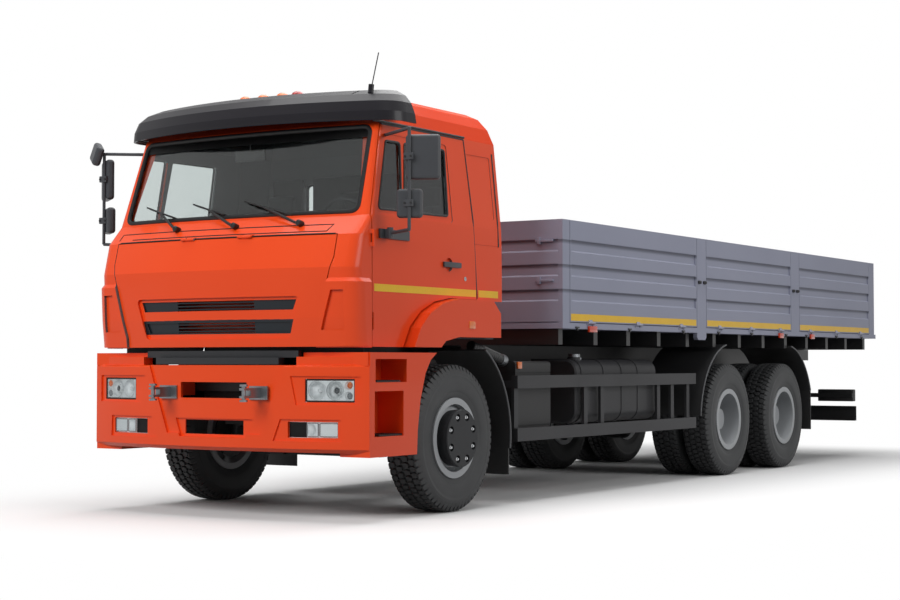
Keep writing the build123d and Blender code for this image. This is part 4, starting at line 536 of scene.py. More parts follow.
amber_lens = lens("amber_lens", "#f07814", "#d65f0c", 5)
red_lens = lens("red_lens", "#b8160e", "#8f0f0a", 5)
clear_lens = lens("frosted_clear_lens", "#c9ccce", "#b2b6b9", 6)
DOME = [(0.0, 0.052), (0.018, 0.050), (0.034, 0.040), (0.044, 0.022), (0.047, 0.0)]
SOCKET = [(-0.045, 0.062), (0.006, 0.060), (0.010, 0.054), (0.010, 0.0)]
ROOF_LAMPS_X = (-0.31, -0.137, 0.042, 0.182)
LAMP_FOOT_Z = 3.046
UPRIGHT = (0, 0, 1)
sockets = [(SOCKET, at(x, -0.60, LAMP_FOOT_Z), UPRIGHT) for x in ROOF_LAMPS_X]
domes = [(DOME, at(x, -0.60, LAMP_FOOT_Z + 0.009), UPRIGHT) for x in ROOF_LAMPS_X]
turned("roof_lamp_sockets", sockets, wiper_black, "cab")
turned("roof_lamps_amber", domes[:3], amber_lens, "cab")
turned("roof_lamp_red", domes[3:], red_lens, "cab")


# Plastic trim: the valance band, mirror shells and boxes are grained charcoal polypropylene,
# moulded in colour. Each mirror head is clamped to its tube by a two-screw bracket.
charcoal = soft_black("charcoal_polypropylene", "#34363a", "#3d3f43", 5, 0.46)
dress(charcoal, "mirrors_left", "mirrors_right")
dress(soft_black("valance_plastic", "#1c1d20", "#232427", 5, 0.5), "front_band")
dress(soft_black("guard_polyethylene", "#161617", "#1d1d1e", 7, 0.6), "mudguards", "side_boxes")
TUBE_X, TUBE_Y = 1.412, -0.957
BOLT_HEAD = [(0.0, 0.0085), (0.006, 0.0085), (0.006, 0.0)]
for side, name in ((1, "left"), (-1, "right")):
    clamps, bolts = [], []
    for z in (2.505, 2.185):
        spot = at(side * TUBE_X, TUBE_Y, z)
        clamps.append((spot + Vector((-0.036, -0.019, -0.024)), spot + Vector((0.036, 0.004, 0.024))))
        bolts += [(BOLT_HEAD, spot + Vector((dx, -0.018, 0)), (0, -1, 0)) for dx in (-0.025, 0.025)]
    boxed(f"mirror_clamps_{name}", clamps, 0.005, charcoal, f"door_{name}")
    turned(f"mirror_clamp_bolts_{name}", bolts, wiper_black, f"door_{name}", 6)


# Door furniture: a dark plastic sleeve over each pull handle, a lock cylinder below it, and a
# rubber rain gutter over the door.
lock_metal, tree = empty_material("satin_lock_metal")
place = add(tree, "TexCoord").outputs["Object"]
brushed = add(tree, "TexNoise", {"Vector": place, "Scale": 1000 / 3, "Detail": 2.0})
shade = add(tree, "MapRange", {"Value": brushed.outputs[0], "To Min": 0.28, "To Max": 0.42})
colour = add(tree, "Mix", {0: brushed.outputs[0], 6: linear("#a9abad"), 7: linear("#8d9092")},
             data_type="RGBA")
shader = add(tree, "BsdfPrincipled", {"Base Color": colour.outputs[2], "Metallic": 1.0,
                                      "Roughness": shade.outputs[0]})
add(tree, "OutputMaterial", {"Surface": shader.outputs[0]})
LOCK_FACE = [(0.0, 0.016), (0.004, 0.016), (0.006, 0.012), (0.006, 0.0)]
for side, name in ((1, "left"), (-1, "right")):
    sleeve = either_side(side, (1.1665, 1.1835), (-0.146, 0.090), (1.792, 1.832))
    boxed(f"door_handle_sleeve_{name}", [sleeve], 0.007, charcoal, f"door_{name}")
    lock = (LOCK_FACE, at(side * 1.1645, 0.164, 1.716), (side, 0, 0))
    turned(f"door_lock_{name}", [lock], lock_metal, f"door_{name}", 24)
    gutter = [on_side(side, y, z, 0.003) for y, z in ((-0.925, 2.782), (-0.30, 2.787), (0.262, 2.787))]
    bent_bars(f"rain_gutter_{name}", [gutter], 0.009, seal_rubber, "cab", smooth=True)


# Yellow reflective tape: a micro-prism strip along the doors, the cab's rear quarters and the
# side boards, cut square at each gap.
tape, tree = empty_material("yellow_reflective_tape")
place = add(tree, "TexCoord").outputs["Object"]
cells = add(tree, "TexVoronoi", {"Vector": place, "Scale": 1000 / 4})
dirt = add(tree, "TexNoise", {"Vector": place, "Scale": 1000 / 160, "Detail": 4.0})
yellow = add(tree, "Mix", {0: dirt.outputs[0], 6: linear("#ffcf1c"), 7: linear("#f2bd14")}, data_type="RGBA")
web = add(tree, "MapRange", {"Value": cells.outputs[0], "From Max": 0.9, "To Min": 1.0, "To Max": 0.82})
shown = add(tree, "Mix", {0: 1.0, 6: yellow.outputs[2], 7: web.outputs[0]}, data_type="RGBA",
            blend_type="MULTIPLY")
bump = add(tree, "Bump", {"Height": cells.outputs[0], "Distance": 0.0002, "Strength": 0.3})
shader = add(tree, "BsdfPrincipled", {"Base Color": shown.outputs[2], "Roughness": 0.38,
                                      "Normal": bump.outputs[0]})
add(tree, "OutputMaterial", {"Surface": shader.outputs[0]})
for side, name in ((1, "left"), (-1, "right")):
    for label, body, start, end in (("door", f"door_{name}", -1.020, 0.318),
                                    ("quarter", "cab", 0.352, 0.640)):
        rows = [[at(side * 1.1662, y, z) for y in spread(start, end, 8)] for z in (1.586, 1.638)]
        strip(f"tape_{label}_{name}", rows, tape, body)
    for bay, start, end in (("front", 1.660, 4.115), ("middle", 4.362, 6.492), ("rear", 6.765, 8.958)):
        board = f"side_board_{bay}_{name}"
        rows = [[at(side * 1.2506, y, z) for y in spread(start, end, 12)] for z in (1.435, 1.492)]
        strip(f"tape_{board}", rows, tape, board)


# Cab interior: a dashboard moulded in grained vinyl with its steering wheel, and a rubber mat
# laid on the cab floor.
dress(soft_black("dash_vinyl", "#2b2c2f", "#333438", 5, 0.55), "dashboard")
dress(soft_black("floor_mat_rubber", "#232325", "#2b2b2d", 9, 0.7), "cab_floor")


# Seats: foam cushions, backs and headrests in dark woven cloth, each its own padded piece on a
# grained plastic pedestal. The padding is simulated from a slightly smaller block.
seat_cloth, tree = empty_material("woven_seat_cloth")
place = add(tree, "TexCoord").outputs["Object"]
warp = add(tree, "TexWave", {"Vector": place, "Scale": 1000 / 60, "Distortion": 0.6}, bands_direction="X")
weft = add(tree, "TexWave", {"Vector": place, "Scale": 1000 / 60, "Distortion": 0.6}, bands_direction="Z")
weave = add(tree, "Math", {0: warp.outputs[1], 1: weft.outputs[1]}, operation="MAXIMUM")
wear = add(tree, "TexNoise", {"Vector": place, "Scale": 1000 / 120, "Detail": 4.0})
thread = add(tree, "Mix", {0: weave.outputs[0], 6: linear("#232529"), 7: linear("#34373c")}, data_type="RGBA")
colour = add(tree, "Mix", {0: wear.outputs[0], 6: thread.outputs[2], 7: linear("#2b2d31")}, data_type="RGBA")
bump = add(tree, "Bump", {"Height": weave.outputs[0], "Distance": 0.0006, "Strength": 0.5})
shader = add(tree, "BsdfPrincipled", {"Base Color": colour.outputs[2], "Roughness": 0.9, "Sheen Weight": 0.25,
                                      "Normal": bump.outputs[0]})
add(tree, "OutputMaterial", {"Surface": shader.outputs[0]})


PAD_VOXEL, PAD_FRAMES = 0.016, 16
CHANNEL_DEPTH, CHANNEL_WIDTH = 0.009, 0.011


def stuffed(name, low, high, lean, swell, channels):
    """A crowned foam pad between two corners, swollen by cloth pressure, with sewn channels across
    the given axis places. lean shears it rearwards with height."""
    mesh = bevelled_boxes(name, [(low, high)], min(high[k] - low[k] for k in range(3)) * 0.32)
    piece = bpy.data.objects.new(name, mesh)
    bpy.context.collection.objects.link(piece)
    remesh = piece.modifiers.new("even_mesh", "REMESH")
    remesh.mode, remesh.voxel_size = "VOXEL", PAD_VOXEL
    cloth = piece.modifiers.new("padding", "CLOTH").settings
    cloth.use_pressure, cloth.uniform_pressure_force = True, 4.0
    cloth.effector_weights.gravity = 0.0
    for step in range(1, PAD_FRAMES):
        bpy.context.scene.frame_set(step)
    graph = bpy.context.evaluated_depsgraph_get()
    swollen = bpy.data.meshes.new_from_object(piece.evaluated_get(graph))
    bpy.data.objects.remove(piece)
    middle = (Vector(low) + Vector(high)) / 2
    half = (Vector(high) - Vector(low)) / 2
    for vertex in swollen.vertices:
        for k in range(3):
            limit = half[k] + swell
            vertex.co[k] = middle[k] + max(-limit, min(limit, vertex.co[k] - middle[k]))
        for axis, spot in channels:
            pull = CHANNEL_DEPTH * math.exp(-((vertex.co[axis] - spot) / CHANNEL_WIDTH) ** 2)
            inward = middle - vertex.co
            vertex.co += inward.normalized() * pull
        vertex.co.y += lean * (vertex.co.z - low[2])
    swollen.materials.clear()
    for face in swollen.polygons:
        face.use_smooth = True
    pad = show(name, swollen, seat_cloth, "cab")
    smooth = pad.modifiers.new("smooth_cloth", "SUBSURF")
    smooth.levels = smooth.render_levels = 1
    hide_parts("seats")


pedestals = []
for label, x, width in (("driver", 0.700, 0.480), ("middle", 0.0, 0.400), ("passenger", -0.700, 0.480)):
    reach = width / 2 - 0.012
    spine = [(0, x - width * 0.27), (0, x + width * 0.27)]
    stuffed(f"seat_cushion_{label}", at(x - reach, -0.315, 1.676), at(x + reach, 0.175, 1.780), 0.0, 0.011,
            spine)
    stuffed(f"seat_back_{label}", at(x - reach, 0.150, 1.745), at(x + reach, 0.245, 2.236), 0.28, 0.011,
            spine + [(2, 1.95)])
    stuffed(f"headrest_{label}", at(x - 0.125, 0.300, 2.285), at(x + 0.125, 0.372, 2.440), 0.10, 0.009, [])
    pedestals.append((at(x - 0.15, -0.20, 1.329), at(x + 0.15, 0.12, 1.62)))
    pedestals.append((at(x - 0.19, -0.27, 1.60), at(x + 0.19, 0.20, 1.672)))
    for dx in (-0.06, 0.06):
        pedestals.append((at(x + dx - 0.006, 0.322, 2.20), at(x + dx + 0.006, 0.334, 2.30)))
boxed("seat_pedestals", pedestals, 0.004, charcoal, "cab")


# Folded bunk: two padded vinyl boards hinged up against the cab's rear wall, with a slit
# between them that shows the right rear window.
bunk_vinyl = soft_black("bunk_vinyl", "#2c2d31", "#36373b", 5, 0.6)
boards = [(at(start, 0.560, 2.060), at(end, 0.615, 2.600))
          for start, end in ((-0.960, -0.660), (-0.550, 0.900))]
boxed("folded_bunk", boards, 0.018, bunk_vinyl, "cab")


# Headlamps: each unit is one bright aluminised reflector tray with two round bowls, a small
# amber and a small grey lamp at its outer end, a black rubber frame and a clear cover.
def bright(name, code, shade, grain_mm, roughness, metal=1.0):
    """Bare or plated metal: bright, with a fine uneven polish."""
    material, tree = empty_material(name)
    place = add(tree, "TexCoord").outputs["Object"]
    polish = add(tree, "TexNoise", {"Vector": place, "Scale": 1000 / grain_mm, "Detail": 3.0})
    colour = add(tree, "Mix", {0: polish.outputs[0], 6: linear(code), 7: linear(shade)}, data_type="RGBA")
    rough = add(tree, "MapRange", {"Value": polish.outputs[0], "From Min": 0.3, "From Max": 0.7,
                                   "To Min": roughness, "To Max": roughness + 0.12})
    bump = add(tree, "Bump", {"Height": polish.outputs[0], "Distance": 0.0003, "Strength": 0.25})
    shader = add(tree, "BsdfPrincipled", {"Base Color": colour.outputs[2], "Metallic": metal,
                                          "Roughness": rough.outputs[0], "Normal": bump.outputs[0]})
    add(tree, "OutputMaterial", {"Surface": shader.outputs[0]})
    return material


cover_glass, tree = empty_material("lamp_cover_glass")
place = add(tree, "TexCoord").outputs["Object"]
flutes = add(tree, "TexWave", {"Vector": place, "Scale": 1000 / 400, "Distortion": 0.3}, bands_direction="X")
bump = add(tree, "Bump", {"Height": flutes.outputs[1], "Distance": 0.0005, "Strength": 0.3})
see = add(tree, "BsdfTransparent", {"Color": linear("#f4f7f8")})
gloss = add(tree, "BsdfGlossy", {"Color": linear("#f2f4f5"), "Roughness": 0.08, "Normal": bump.outputs[0]})
edge = add(tree, "Fresnel", {"IOR": 1.45})
blend = add(tree, "MixShader", {0: edge.outputs[0], 1: see.outputs[0], 2: gloss.outputs[0]})
add(tree, "OutputMaterial", {"Surface": blend.outputs[0]})
aluminised = bright("aluminised_reflector", "#fbfcfc", "#e6e9ea", 8, 0.34, metal=0.55)
dress(aluminised, "lamps")
zinc = bright("zinc_plated_steel", "#95989b", "#76797c", 5, 0.36)
dress(zinc, "tow_gear")


def lamp_face(x, back=0.0):
    """How far forward the lamp units' faces stand at a distance from the centre line."""
    return -1.334 + 0.105 * x * x + back


def face_outward(x):
    """The way a lamp face looks at a distance from the centre line."""
    return Vector((0.21 * x, -1.0, 0.0)).normalized()


def loop_bar(name, corners, radius, material, body, forward=0.0, bend=0.012):
    """A round-cornered frame that lies on the bowed lamp face."""
    line = divided(rounded(corners, bend), 0.05)
    run = [at(p.x, lamp_face(p.x) - forward, p.y) for p in line]
    return bent_bars(name, [run], radius, material, body, cyclic=True)


BOWL_RIM = [(-0.004, 0.0600), (0.000, 0.0655), (0.003, 0.0640), (0.003, 0.0610), (-0.003, 0.0585)]
PROJECTOR = [(-0.030, 0.030), (-0.006, 0.030), (-0.003, 0.027), (-0.006, 0.021)]
EYE = [(-0.012, 0.0215), (-0.004, 0.018), (0.001, 0.009), (0.0025, 0.0)]
SMALL_DOME = [(-0.008, 0.0245), (-0.002, 0.0225), (0.003, 0.014), (0.005, 0.0)]
dark_lens = lens("dark_projector_lens", "#40464c", "#2c3136", 9, 0.05)
smoky_lens = lens("grey_position_lens", "#8f9396", "#74787b", 5)
for side, name in ((1, "left"), (-1, "right")):
    corners = [(side * 0.777, 0.830), (side * 1.133, 0.830), (side * 1.133, 0.978), (side * 0.777, 0.978)]
    loop_bar(f"headlamp_frame_{name}", corners, 0.0062, seal_rubber, "chassis", 0.001)
    places = {x: (at(side * x, lamp_face(x), 0.904), face_outward(side * x)) for x in (0.862, 1.0)}
    rims = [(BOWL_RIM, *spot) for spot in places.values()]
    turned(f"headlamp_bowl_rims_{name}", rims, aluminised, "chassis", 48)
    turned(f"headlamp_projector_{name}", [(PROJECTOR, *places[1.0])], aluminised, "chassis", 40)
    turned(f"headlamp_eye_{name}", [(EYE, *places[1.0])], dark_lens, "chassis", 40)
    for label, z, material in (("signal", 0.940, amber_lens), ("position", 0.868, smoky_lens)):
        dome = (SMALL_DOME, at(side * 1.098, lamp_face(1.098), z), face_outward(side * 1.098))
        turned(f"{label}_lens_{name}", [dome], material, "chassis")
    rows = [[at(side * x, lamp_face(x, -0.005), z) for x in spread(0.779, 1.131, 12)]
            for z in spread(0.832, 0.976, 6)]
    strip(f"headlamp_cover_{name}", rows, cover_glass, "chassis")


# Fog lamps and blank pockets: two small clear units with ribbed lenses in a black backing, and
# dark mesh behind the bumper's openings.
pocket_black = soft_black("pocket_backing_plastic", "#0f0f10", "#151516", 6, 0.55)
for side, name in ((1, "left"), (-1, "right")):
    for label, start, end in (("inner", 0.784, 0.866), ("outer", 0.880, 1.012)):
        rows = [[at(side * x, lamp_face(x, -0.0035), z) for x in spread(start, end, 6)]
                for z in spread(0.590, 0.680, 5)]
        strip(f"fog_lens_{label}_{name}", rows, cover_glass, "chassis")
        corners = [(side * start, 0.590), (side * end, 0.590), (side * end, 0.680), (side * start, 0.680)]
        loop_bar(f"fog_frame_{label}_{name}", corners, 0.0035, smoky_lens, "chassis",
                 0.001, 0.008)
    rows = [[at(side * x, lamp_face(x, 0.0085), z) for x in spread(0.642, 0.778, 6)]
            for z in (0.583, 0.687)]
    strip(f"fog_backing_{name}", rows, pocket_black, "chassis", 0.002)


# Tail lamps: a clear, a red and an amber moulded lens side by side, set in the face of one
# black plastic housing on each side.
TAIL_LENSES = (("reverse", clear_lens), ("stop", red_lens), ("turn", amber_lens))
LENS_PITCH = 0.140
for side, name in ((1, "left"), (-1, "right")):
    for k, (label, material) in enumerate(TAIL_LENSES):
        across = (0.649 + LENS_PITCH * k, 0.771 + LENS_PITCH * k)
        box = either_side(side, across, (9.012, 9.026), (0.655, 0.755))
        boxed(f"tail_{label}_{name}", [box], 0.006, material, "chassis")
    box = either_side(side, (0.635, 1.065), (8.924, 9.019), (0.635, 0.775))
    boxed(f"tail_lamp_housing_{name}", [box], 0.012, pocket_black, "chassis")


# Side lamps: amber repeaters in the arch flares' recesses and on the battery box, red-orange
# marker lamps under the deck's edge.
marker_lens = lens("red_orange_lens", "#f0481c", "#d43a14", 5)
# Columns: middle, half length
DECK_MARKERS = ((2.015, 0.070), (6.197, 0.055), (7.088, 0.055))
for side, name in ((1, "left"), (-1, "right")):
    box = either_side(side, (1.236, 1.2535), (0.085, 0.172), (1.344, 1.400))
    boxed(f"flare_repeater_{name}", [box], 0.006, amber_lens, "cab")
    box = either_side(side, (1.106, 1.124), (1.020, 1.085), (1.045, 1.100))
    boxed(f"box_marker_{name}", [box], 0.005, amber_lens, "chassis")
    boxes = [either_side(side, (1.252, 1.2722), (y - half, y + half), (1.344, 1.395))
             for y, half in DECK_MARKERS]
    boxed(f"deck_markers_{name}", boxes, 0.006, marker_lens, "chassis")


# Steps: black rubber tread pads with raised moulded ribs, laid on the floors of the two
# recesses in each step panel.
RIB_PITCH, PAD_THICKNESS, RIB_TOP = 0.026, 0.008, 0.0125
for side, name in ((1, "left"), (-1, "right")):
    boxes = []
    across = (1.060, 1.236)
    for start, end, z in ((-1.090, -0.800, 0.962), (-1.060, -0.745, 0.592)):
        boxes.append(either_side(side, across, (start, end), (z, z + PAD_THICKNESS)))
        ribs = round((end - start) / RIB_PITCH)
        for y in spread(start + RIB_PITCH / 2, end - RIB_PITCH / 2, ribs):
            boxes.append(either_side(side, across, (y - 0.004, y + 0.004), (z + PAD_THICKNESS, z + RIB_TOP)))
    boxed(f"step_pads_{name}", boxes, 0.0015, seal_rubber, "chassis")


# Chassis: rails, axles and brackets in thick satin black chassis paint over rolled and cast
# steel, a little uneven where the casting shows through.
chassis_black = soft_black("satin_chassis_paint", "#1a1a1b", "#222223", 12, 0.45, 0.0006)
dress(chassis_black, "frame_rails", "cross_members", "bed_frame", "underrun_guard", "air_tanks",
      "leaf_springs")
cast_black = soft_black("painted_castings", "#1d1d1e", "#272726", 7, 0.58, 0.0012)
dress(cast_black, "powertrain", "axles", "knuckle_left", "knuckle_right", "tie_rod")
fitting_rubber = soft_black("duct_rubber", "#161617", "#1e1e1f", 5, 0.5)
guard_paint = enamel("side_guard_paint", "#3c3c3e", "#353537", 5, 0.50, 0.05)
dress(guard_paint, "side_guard_rails", "side_guard_posts", "fuel_tank")


# Mudguard edges: a grey plastic bead pushed on round the outer edge of each guard, bent to
# the guard's own arc.
edge_plastic = soft_black("guard_edge_plastic", "#4a4b4d", "#545558", 6, 0.5)
GUARD_EDGES = [(0.0, 0.748, -8, 60), (4.97, 0.731, 100, 176), (6.41, 0.731, 20, 80)]
for side, name in ((1, "left"), (-1, "right")):
    runs = []
    for (middle_y, radius, start, end), out in zip(GUARD_EDGES, (1.213, 1.234, 1.234)):
        turns = [math.radians(a) for a in spread(start, end, 16)]
        runs.append([at(side * out, middle_y + radius * math.cos(a), AXLE_Z + radius * math.sin(a))
                     for a in turns])
    bent_bars(f"mudguard_edges_{name}", runs, 0.008, edge_plastic, "chassis")


# Fuel tank fittings: a locking filler cap on top, and the corrugated air duct with its bright
# clamp that runs from behind the cab to the box on the left.
CAP = [(0.0, 0.062), (0.016, 0.062), (0.020, 0.052), (0.046, 0.050), (0.052, 0.044), (0.052, 0.0)]
turned("tank_cap", [(CAP, at(0.985, 2.205, 1.118), UPRIGHT)], zinc, "chassis")
duct_start, duct_end = at(1.02, 0.470, 1.222), at(1.02, 0.905, 1.122)
duct_way = duct_end - duct_start
DUCT_RINGS, DUCT_RADIUS, RING_RADIUS = 15, 0.038, 0.044
profile = [(0.0, 0.0)]
for k in range(DUCT_RINGS):
    along = duct_way.length * (k + 0.2) / DUCT_RINGS
    profile += [(along, DUCT_RADIUS), (along + 0.008, RING_RADIUS), (along + 0.016, RING_RADIUS),
                (along + 0.022, DUCT_RADIUS)]
profile.append((duct_way.length, DUCT_RADIUS))
turned("air_duct", [(profile, duct_start, duct_way)], fitting_rubber, "chassis")
ELBOW = [(0.0, 0.0), (0.0, 0.046), (0.030, 0.048), (0.060, 0.048), (0.076, 0.036), (0.082, 0.0)]
turned("air_duct_end", [(ELBOW, duct_end, duct_way)], zinc, "chassis")


# Splash shields: black plastic sheets that close the gap between the bumper and the cab, each
# side of the engine.
boxes = []
for side in (1, -1):
    for inner, outer, foot in ((0.347, 0.520, 1.118), (0.516, 1.090, 1.080)):
        boxes.append(either_side(side, (inner, outer), (-1.040, -1.034), (foot, 1.255)))
boxed("splash_shields", boxes, 0.002, pocket_black, "chassis")


# Load bed: pressed steel boards in lilac-grey powder coat, dull and slightly grained, with the
# steel floor in the same coat.
def painted_bead_shade(tree, place):
    """A mask for painted shade: a dark band under the upper edge of each pressed bead, where its overhang
    shades the board.
    """
    height = add(tree, "SeparateXYZ", {0: place}).outputs[2]
    total = 0.0
    for top in (1.690, 1.890, 2.092):
        low = add(tree, "MapRange", {"Value": height, "From Min": top - 0.036, "From Max": top - 0.014,
                                     "To Max": 0.62})
        kept = add(tree, "Math", {0: height, 1: top + 0.001}, operation="LESS_THAN")
        line = add(tree, "Math", {0: low.outputs[0], 1: kept.outputs[0]}, operation="MULTIPLY")
        total = add(tree, "Math", {0: total, 1: line.outputs[0]}, operation="MAXIMUM").outputs[0]
    return total


LILAC, LILAC_SHADE = "#9c9fb2", "#979aac"
bed_coat = enamel("lilac_grey_powder_coat", LILAC, LILAC_SHADE, 3, 0.46, 0.05, 0.25)
# The pressed boards carry painted shade: a dark band under each bead's upper edge, standing in for the bead's
# shadow.
bead_shaded_coat = enamel("lilac_grey_pressed_boards", LILAC, LILAC_SHADE, 3, 0.46, 0.05, 0.25,
                    hidden=(painted_bead_shade, "#33343c"))
board_nodes = [f"side_board_{bay}_{side}" for bay in ("front", "middle", "rear")
               for side in ("left", "right")]
dress(bed_coat, "bed_posts", "deck")
dress(bead_shaded_coat, "headboard", "tailgate", *board_nodes)


# Bed fittings: forged drop latches at the posts and small hooks along the deck's lower edge, in worn
# black paint, and bolts on the headboard in the bed's own coat.
fitting_black = soft_black("worn_fitting_paint", "#1b1b1d", "#2a2a2c", 10, 0.5, 0.0005)
HOOKS_Y = (1.76, 2.72, 3.82, 4.62, 5.43, 6.36, 6.94, 7.86, 8.70)
LATCHED_POSTS_Y = (4.238, 6.628)
KNOB = [(0.0, 0.017), (0.020, 0.015), (0.026, 0.010), (0.026, 0.0)]
for side, name in ((1, "left"), (-1, "right")):
    boxes = []
    for y in HOOKS_Y:
        boxes.append(either_side(side, (1.246, 1.262), (y - 0.030, y + 0.030), (1.376, 1.388)))
        boxes.append(either_side(side, (1.246, 1.262), (y - 0.010, y + 0.010), (1.356, 1.380)))
    boxed(f"deck_hooks_{name}", boxes, 0.004, fitting_black, "chassis")
    latches, knobs = [], []
    for post in LATCHED_POSTS_Y:
        for way in (-1, 1):
            along = sorted((post + way * 0.085, post + way * 0.030))
            latches.append(either_side(side, (1.250, 1.266), along, (1.830, 1.858)))
            knobs.append((KNOB, at(side * 1.250, post + way * 0.060, 1.844), (side, 0, 0)))
    boxed(f"post_latches_{name}", latches, 0.004, fitting_black, "chassis")
    turned(f"post_latch_knobs_{name}", knobs, fitting_black, "chassis", 20)
boxes = []
for side in (1, -1):
    for z in (2.085, 1.760):
        boxes.append(either_side(side, (1.000, 1.165), (1.508, 1.5215), (z - 0.010, z + 0.010)))
        boxes.append(either_side(side, (1.020, 1.050), (1.502, 1.5215), (z - 0.028, z + 0.028)))
boxed("headboard_latches", boxes, 0.003, bed_coat, "chassis")


# Wheels: pressed steel discs and rims in silver paint. The front hub drum is painted black,
# and eight bright nuts hold the disc round it.
def in_hub(tree, place):
    """A mask for the painted hub inside a wheel's bolt circle, beyond the disc's face."""
    split = add(tree, "SeparateXYZ", {0: place})
    reach = add(tree, "Math", {0: split.outputs[0]}, operation="ABSOLUTE")
    back = add(tree, "Math", {0: split.outputs[1], 1: AXLE_Y}, operation="SUBTRACT")
    rise = add(tree, "Math", {0: split.outputs[2], 1: AXLE_Z}, operation="SUBTRACT")
    flat = add(tree, "CombineXYZ", {1: back.outputs[0], 2: rise.outputs[0]})
    radius = add(tree, "VectorMath", {0: flat.outputs[0]}, operation="LENGTH")
    near = within(tree, radius.outputs["Value"], -1.0, 0.2125)
    proud = within(tree, reach.outputs[0], 1.1475, 2.0)
    return add(tree, "Math", {0: near, 1: proud}, operation="MULTIPLY").outputs[0]


RIM, RIM_SHADE = "#b6b9bc", "#a5a8ab"
dress(enamel("silver_front_wheel", RIM, RIM_SHADE, 3, 0.40, 0.1, 0.15, hidden=(in_hub, "#2a2b2d")),
      "rim_front_left", "rim_front_right")
rear_rims = [f"rims_{a}_{s}" for a in ("middle", "rear") for s in ("left", "right")]
dress(enamel("silver_rim_paint", RIM, RIM_SHADE, 3, 0.40, 0.1, 0.15), *rear_rims)
NUT = [(-0.006, 0.0150), (0.010, 0.0150), (0.013, 0.0120), (0.013, 0.0095), (0.020, 0.0090), (0.021, 0.0)]
nut_steel = bright("bright_nut_steel", "#d8dadc", "#b4b7ba", 4, 0.22)
NUTS, NUT_CIRCLE, NUT_FOOT_X = 8, 0.163, 1.2265
for side, name in ((1, "left"), (-1, "right")):
    nuts = []
    for k in range(NUTS):
        turn = math.radians(22.5 + 45 * k)
        back, rise = NUT_CIRCLE * math.cos(turn), NUT_CIRCLE * math.sin(turn)
        nuts.append((NUT, at(side * NUT_FOOT_X, back, AXLE_Z + rise), (side, 0, 0)))
    turned(f"wheel_nuts_front_{name}", nuts, nut_steel, f"front_wheel_{name}", 6)


# Tyres: black steel-cord radials with a carcass turned to its real section, and a block tread
# of staggered lugs with open shoulders.
LUG_PITCHES = 64
GROOVE_RADIUS = 0.524
# Columns: distance from the middle, radius, from the bead out to the crown
SIDEWALL = [(0.112, 0.262), (0.1177, 0.266), (0.1185, 0.297), (0.124, 0.312), (0.134, 0.336),
            (0.1345, 0.339), (0.1365, 0.341), (0.1425, 0.372), (0.1448, 0.404), (0.1448, 0.432),
            (0.1435, 0.450), (0.1445, 0.452), (0.1438, 0.458), (0.1405, 0.474), (0.134, 0.496),
            (0.122, 0.513), (0.103, 0.521)]
# Columns: row's middle, half width, stagger as a share of a pitch
LUG_ROWS = [(-0.084, 0.022, 0.5), (-0.030, 0.024, 0.0), (0.030, 0.024, 0.5), (0.084, 0.022, 0.0)]


def tread_top(offset):
    """The tread's radius at a distance from its middle."""
    return 0.5415 - max(0.0, abs(offset) - 0.058) * 0.09


def lug(bm, centre, middle, plan, angle, low, high):
    """One tapered tread block from its plan of (across, along) points about a row's middle."""
    rings = []
    for radius_at, share in ((lambda o: low, 1.0), (lambda o: high(o) - 0.0025, 0.93), (high, 0.85)):
        ring = []
        for across, along in plan:
            offset = centre.x + middle + across * share
            radius = radius_at(middle + across * share)
            turn = angle + along * share / GROOVE_RADIUS
            ring.append(bm.verts.new((offset, centre.y + radius * math.cos(turn),
                                      centre.z + radius * math.sin(turn))))
        rings.append(ring)
    for first, second in zip(rings, rings[1:]):
        for k in range(len(plan)):
            n = (k + 1) % len(plan)
            bm.faces.new((first[k], first[n], second[n], second[k]))
    bm.faces.new(rings[-1])


def shoulder_lug(bm, centre, side, angle, half_along):
    """A shoulder block that wraps from the tread onto the sidewall."""
    section = [(0.108, 0.515), (0.108, tread_top(0.108)), (0.118, 0.5345), (0.1285, 0.514), (0.1415, 0.474),
               (0.1380, 0.470), (0.120, 0.505)]
    rings = []
    for share in (-1.0, -0.86, 0.86, 1.0):
        inset = 0.0022 if abs(share) == 1.0 else 0.0
        turn = angle + share * half_along / GROOVE_RADIUS
        rings.append([bm.verts.new((centre.x + side * (offset - inset),
                                    centre.y + (radius - inset) * math.cos(turn),
                                    centre.z + (radius - inset) * math.sin(turn)))
                      for offset, radius in section])
    for first, second in zip(rings, rings[1:]):
        for k in range(len(section)):
            n = (k + 1) % len(section)
            bm.faces.new((first[k], first[n], second[n], second[k]))
    bm.faces.new(rings[0])
    bm.faces.new(rings[-1])


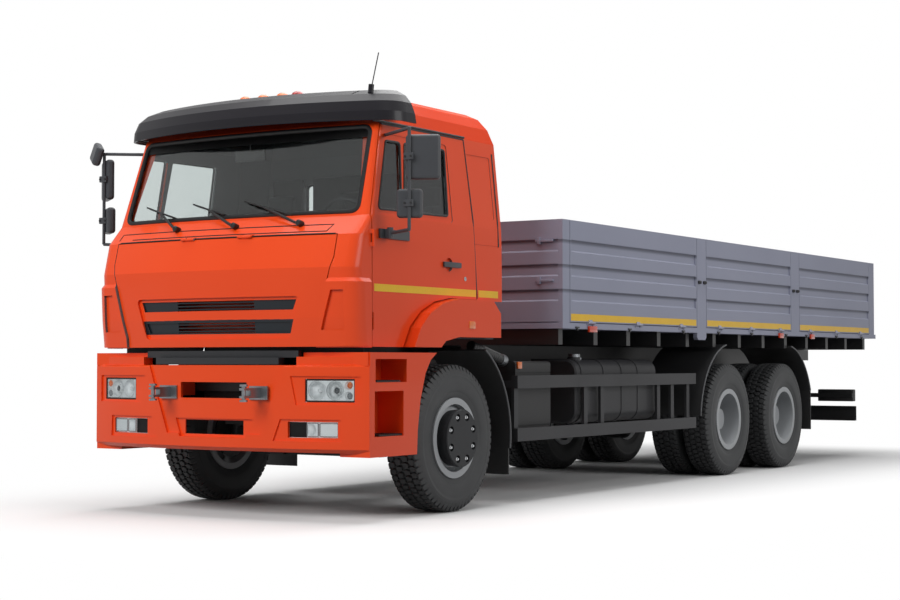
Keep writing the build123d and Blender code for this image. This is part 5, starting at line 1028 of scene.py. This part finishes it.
def tyre_into(bm, centre):
    """One whole tyre about its centre: the turned carcass, four rows of lugs and both shoulders."""
    profile = [(-x, r) for x, r in SIDEWALL] + [(0.0, GROOVE_RADIUS)] + list(reversed(SIDEWALL))
    profile += [(0.10, 0.262), (0.0, 0.262), (-0.10, 0.262), (-SIDEWALL[0][0], SIDEWALL[0][1])]
    lathe_into(bm, profile, centre, (1, 0, 0), 96)
    pitch = 2 * math.pi * GROOVE_RADIUS / LUG_PITCHES
    for k in range(LUG_PITCHES):
        turn = 2 * math.pi * k / LUG_PITCHES
        for middle, half, stagger in LUG_ROWS:
            reach = pitch * (0.46 + 0.03 * (k % 3 - 1))
            skew = 0.35 * reach * (1 if middle > 0 else -1)
            plan = [(-half, -reach * 0.62 - skew * 0.4), (0.0, -reach), (half, -reach * 0.62 + skew * 0.4),
                    (half, reach * 0.62 + skew * 0.4), (0.0, reach), (-half, reach * 0.62 - skew * 0.4)]
            angle = turn + stagger * pitch / GROOVE_RADIUS
            lug(bm, centre, middle, plan, angle, GROOVE_RADIUS - 0.004, tread_top)
        for side in (-1, 1):
            phase = 0.25 if side > 0 else 0.75
            angle = turn + phase * pitch / GROOVE_RADIUS
            shoulder_lug(bm, centre, side, angle, pitch * (0.36 + 0.03 * (k % 2)))


tyre_rubber, tree = empty_material("black_tyre_rubber")
place = add(tree, "TexCoord").outputs["Object"]
dust = add(tree, "TexNoise", {"Vector": place, "Scale": 1000 / 130, "Detail": 5.0})
colour = add(tree, "Mix", {0: dust.outputs[0], 6: linear("#2a2b2d"), 7: linear("#3b3c3d")}, data_type="RGBA")
grit = add(tree, "TexNoise", {"Vector": place, "Scale": 1000 / 4, "Detail": 2.0})
bump = add(tree, "Bump", {"Height": grit.outputs[0], "Distance": 0.0008, "Strength": 0.3})
shader = add(tree, "BsdfPrincipled", {"Base Color": colour.outputs[2], "Roughness": 0.62,
                                      "Normal": bump.outputs[0]})
add(tree, "OutputMaterial", {"Surface": shader.outputs[0]})

TYRE_WIDTH = front_tyre_high.x - front_tyre_low.x
tyre_sets = [(f"tyre_front_{side}", f"front_wheel_{side}") for side in ("left", "right")]
tyre_sets += [(f"tyres_{a}_{s}", f"{a}_wheels_{s}") for a in ("middle", "rear") for s in ("left", "right")]
for node, body in tyre_sets:
    low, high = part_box(node)
    bm = bmesh.new()
    middles = [low.x + TYRE_WIDTH / 2]
    if high.x - low.x > 1.5 * TYRE_WIDTH:
        middles.append(high.x - TYRE_WIDTH / 2)
    for x in middles:
        tyre_into(bm, Vector((x, (low.y + high.y) / 2, AXLE_Z)))
    piece = show("treaded_" + node, merged_mesh("treaded_" + node, bm), tyre_rubber, body)
    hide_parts(node)
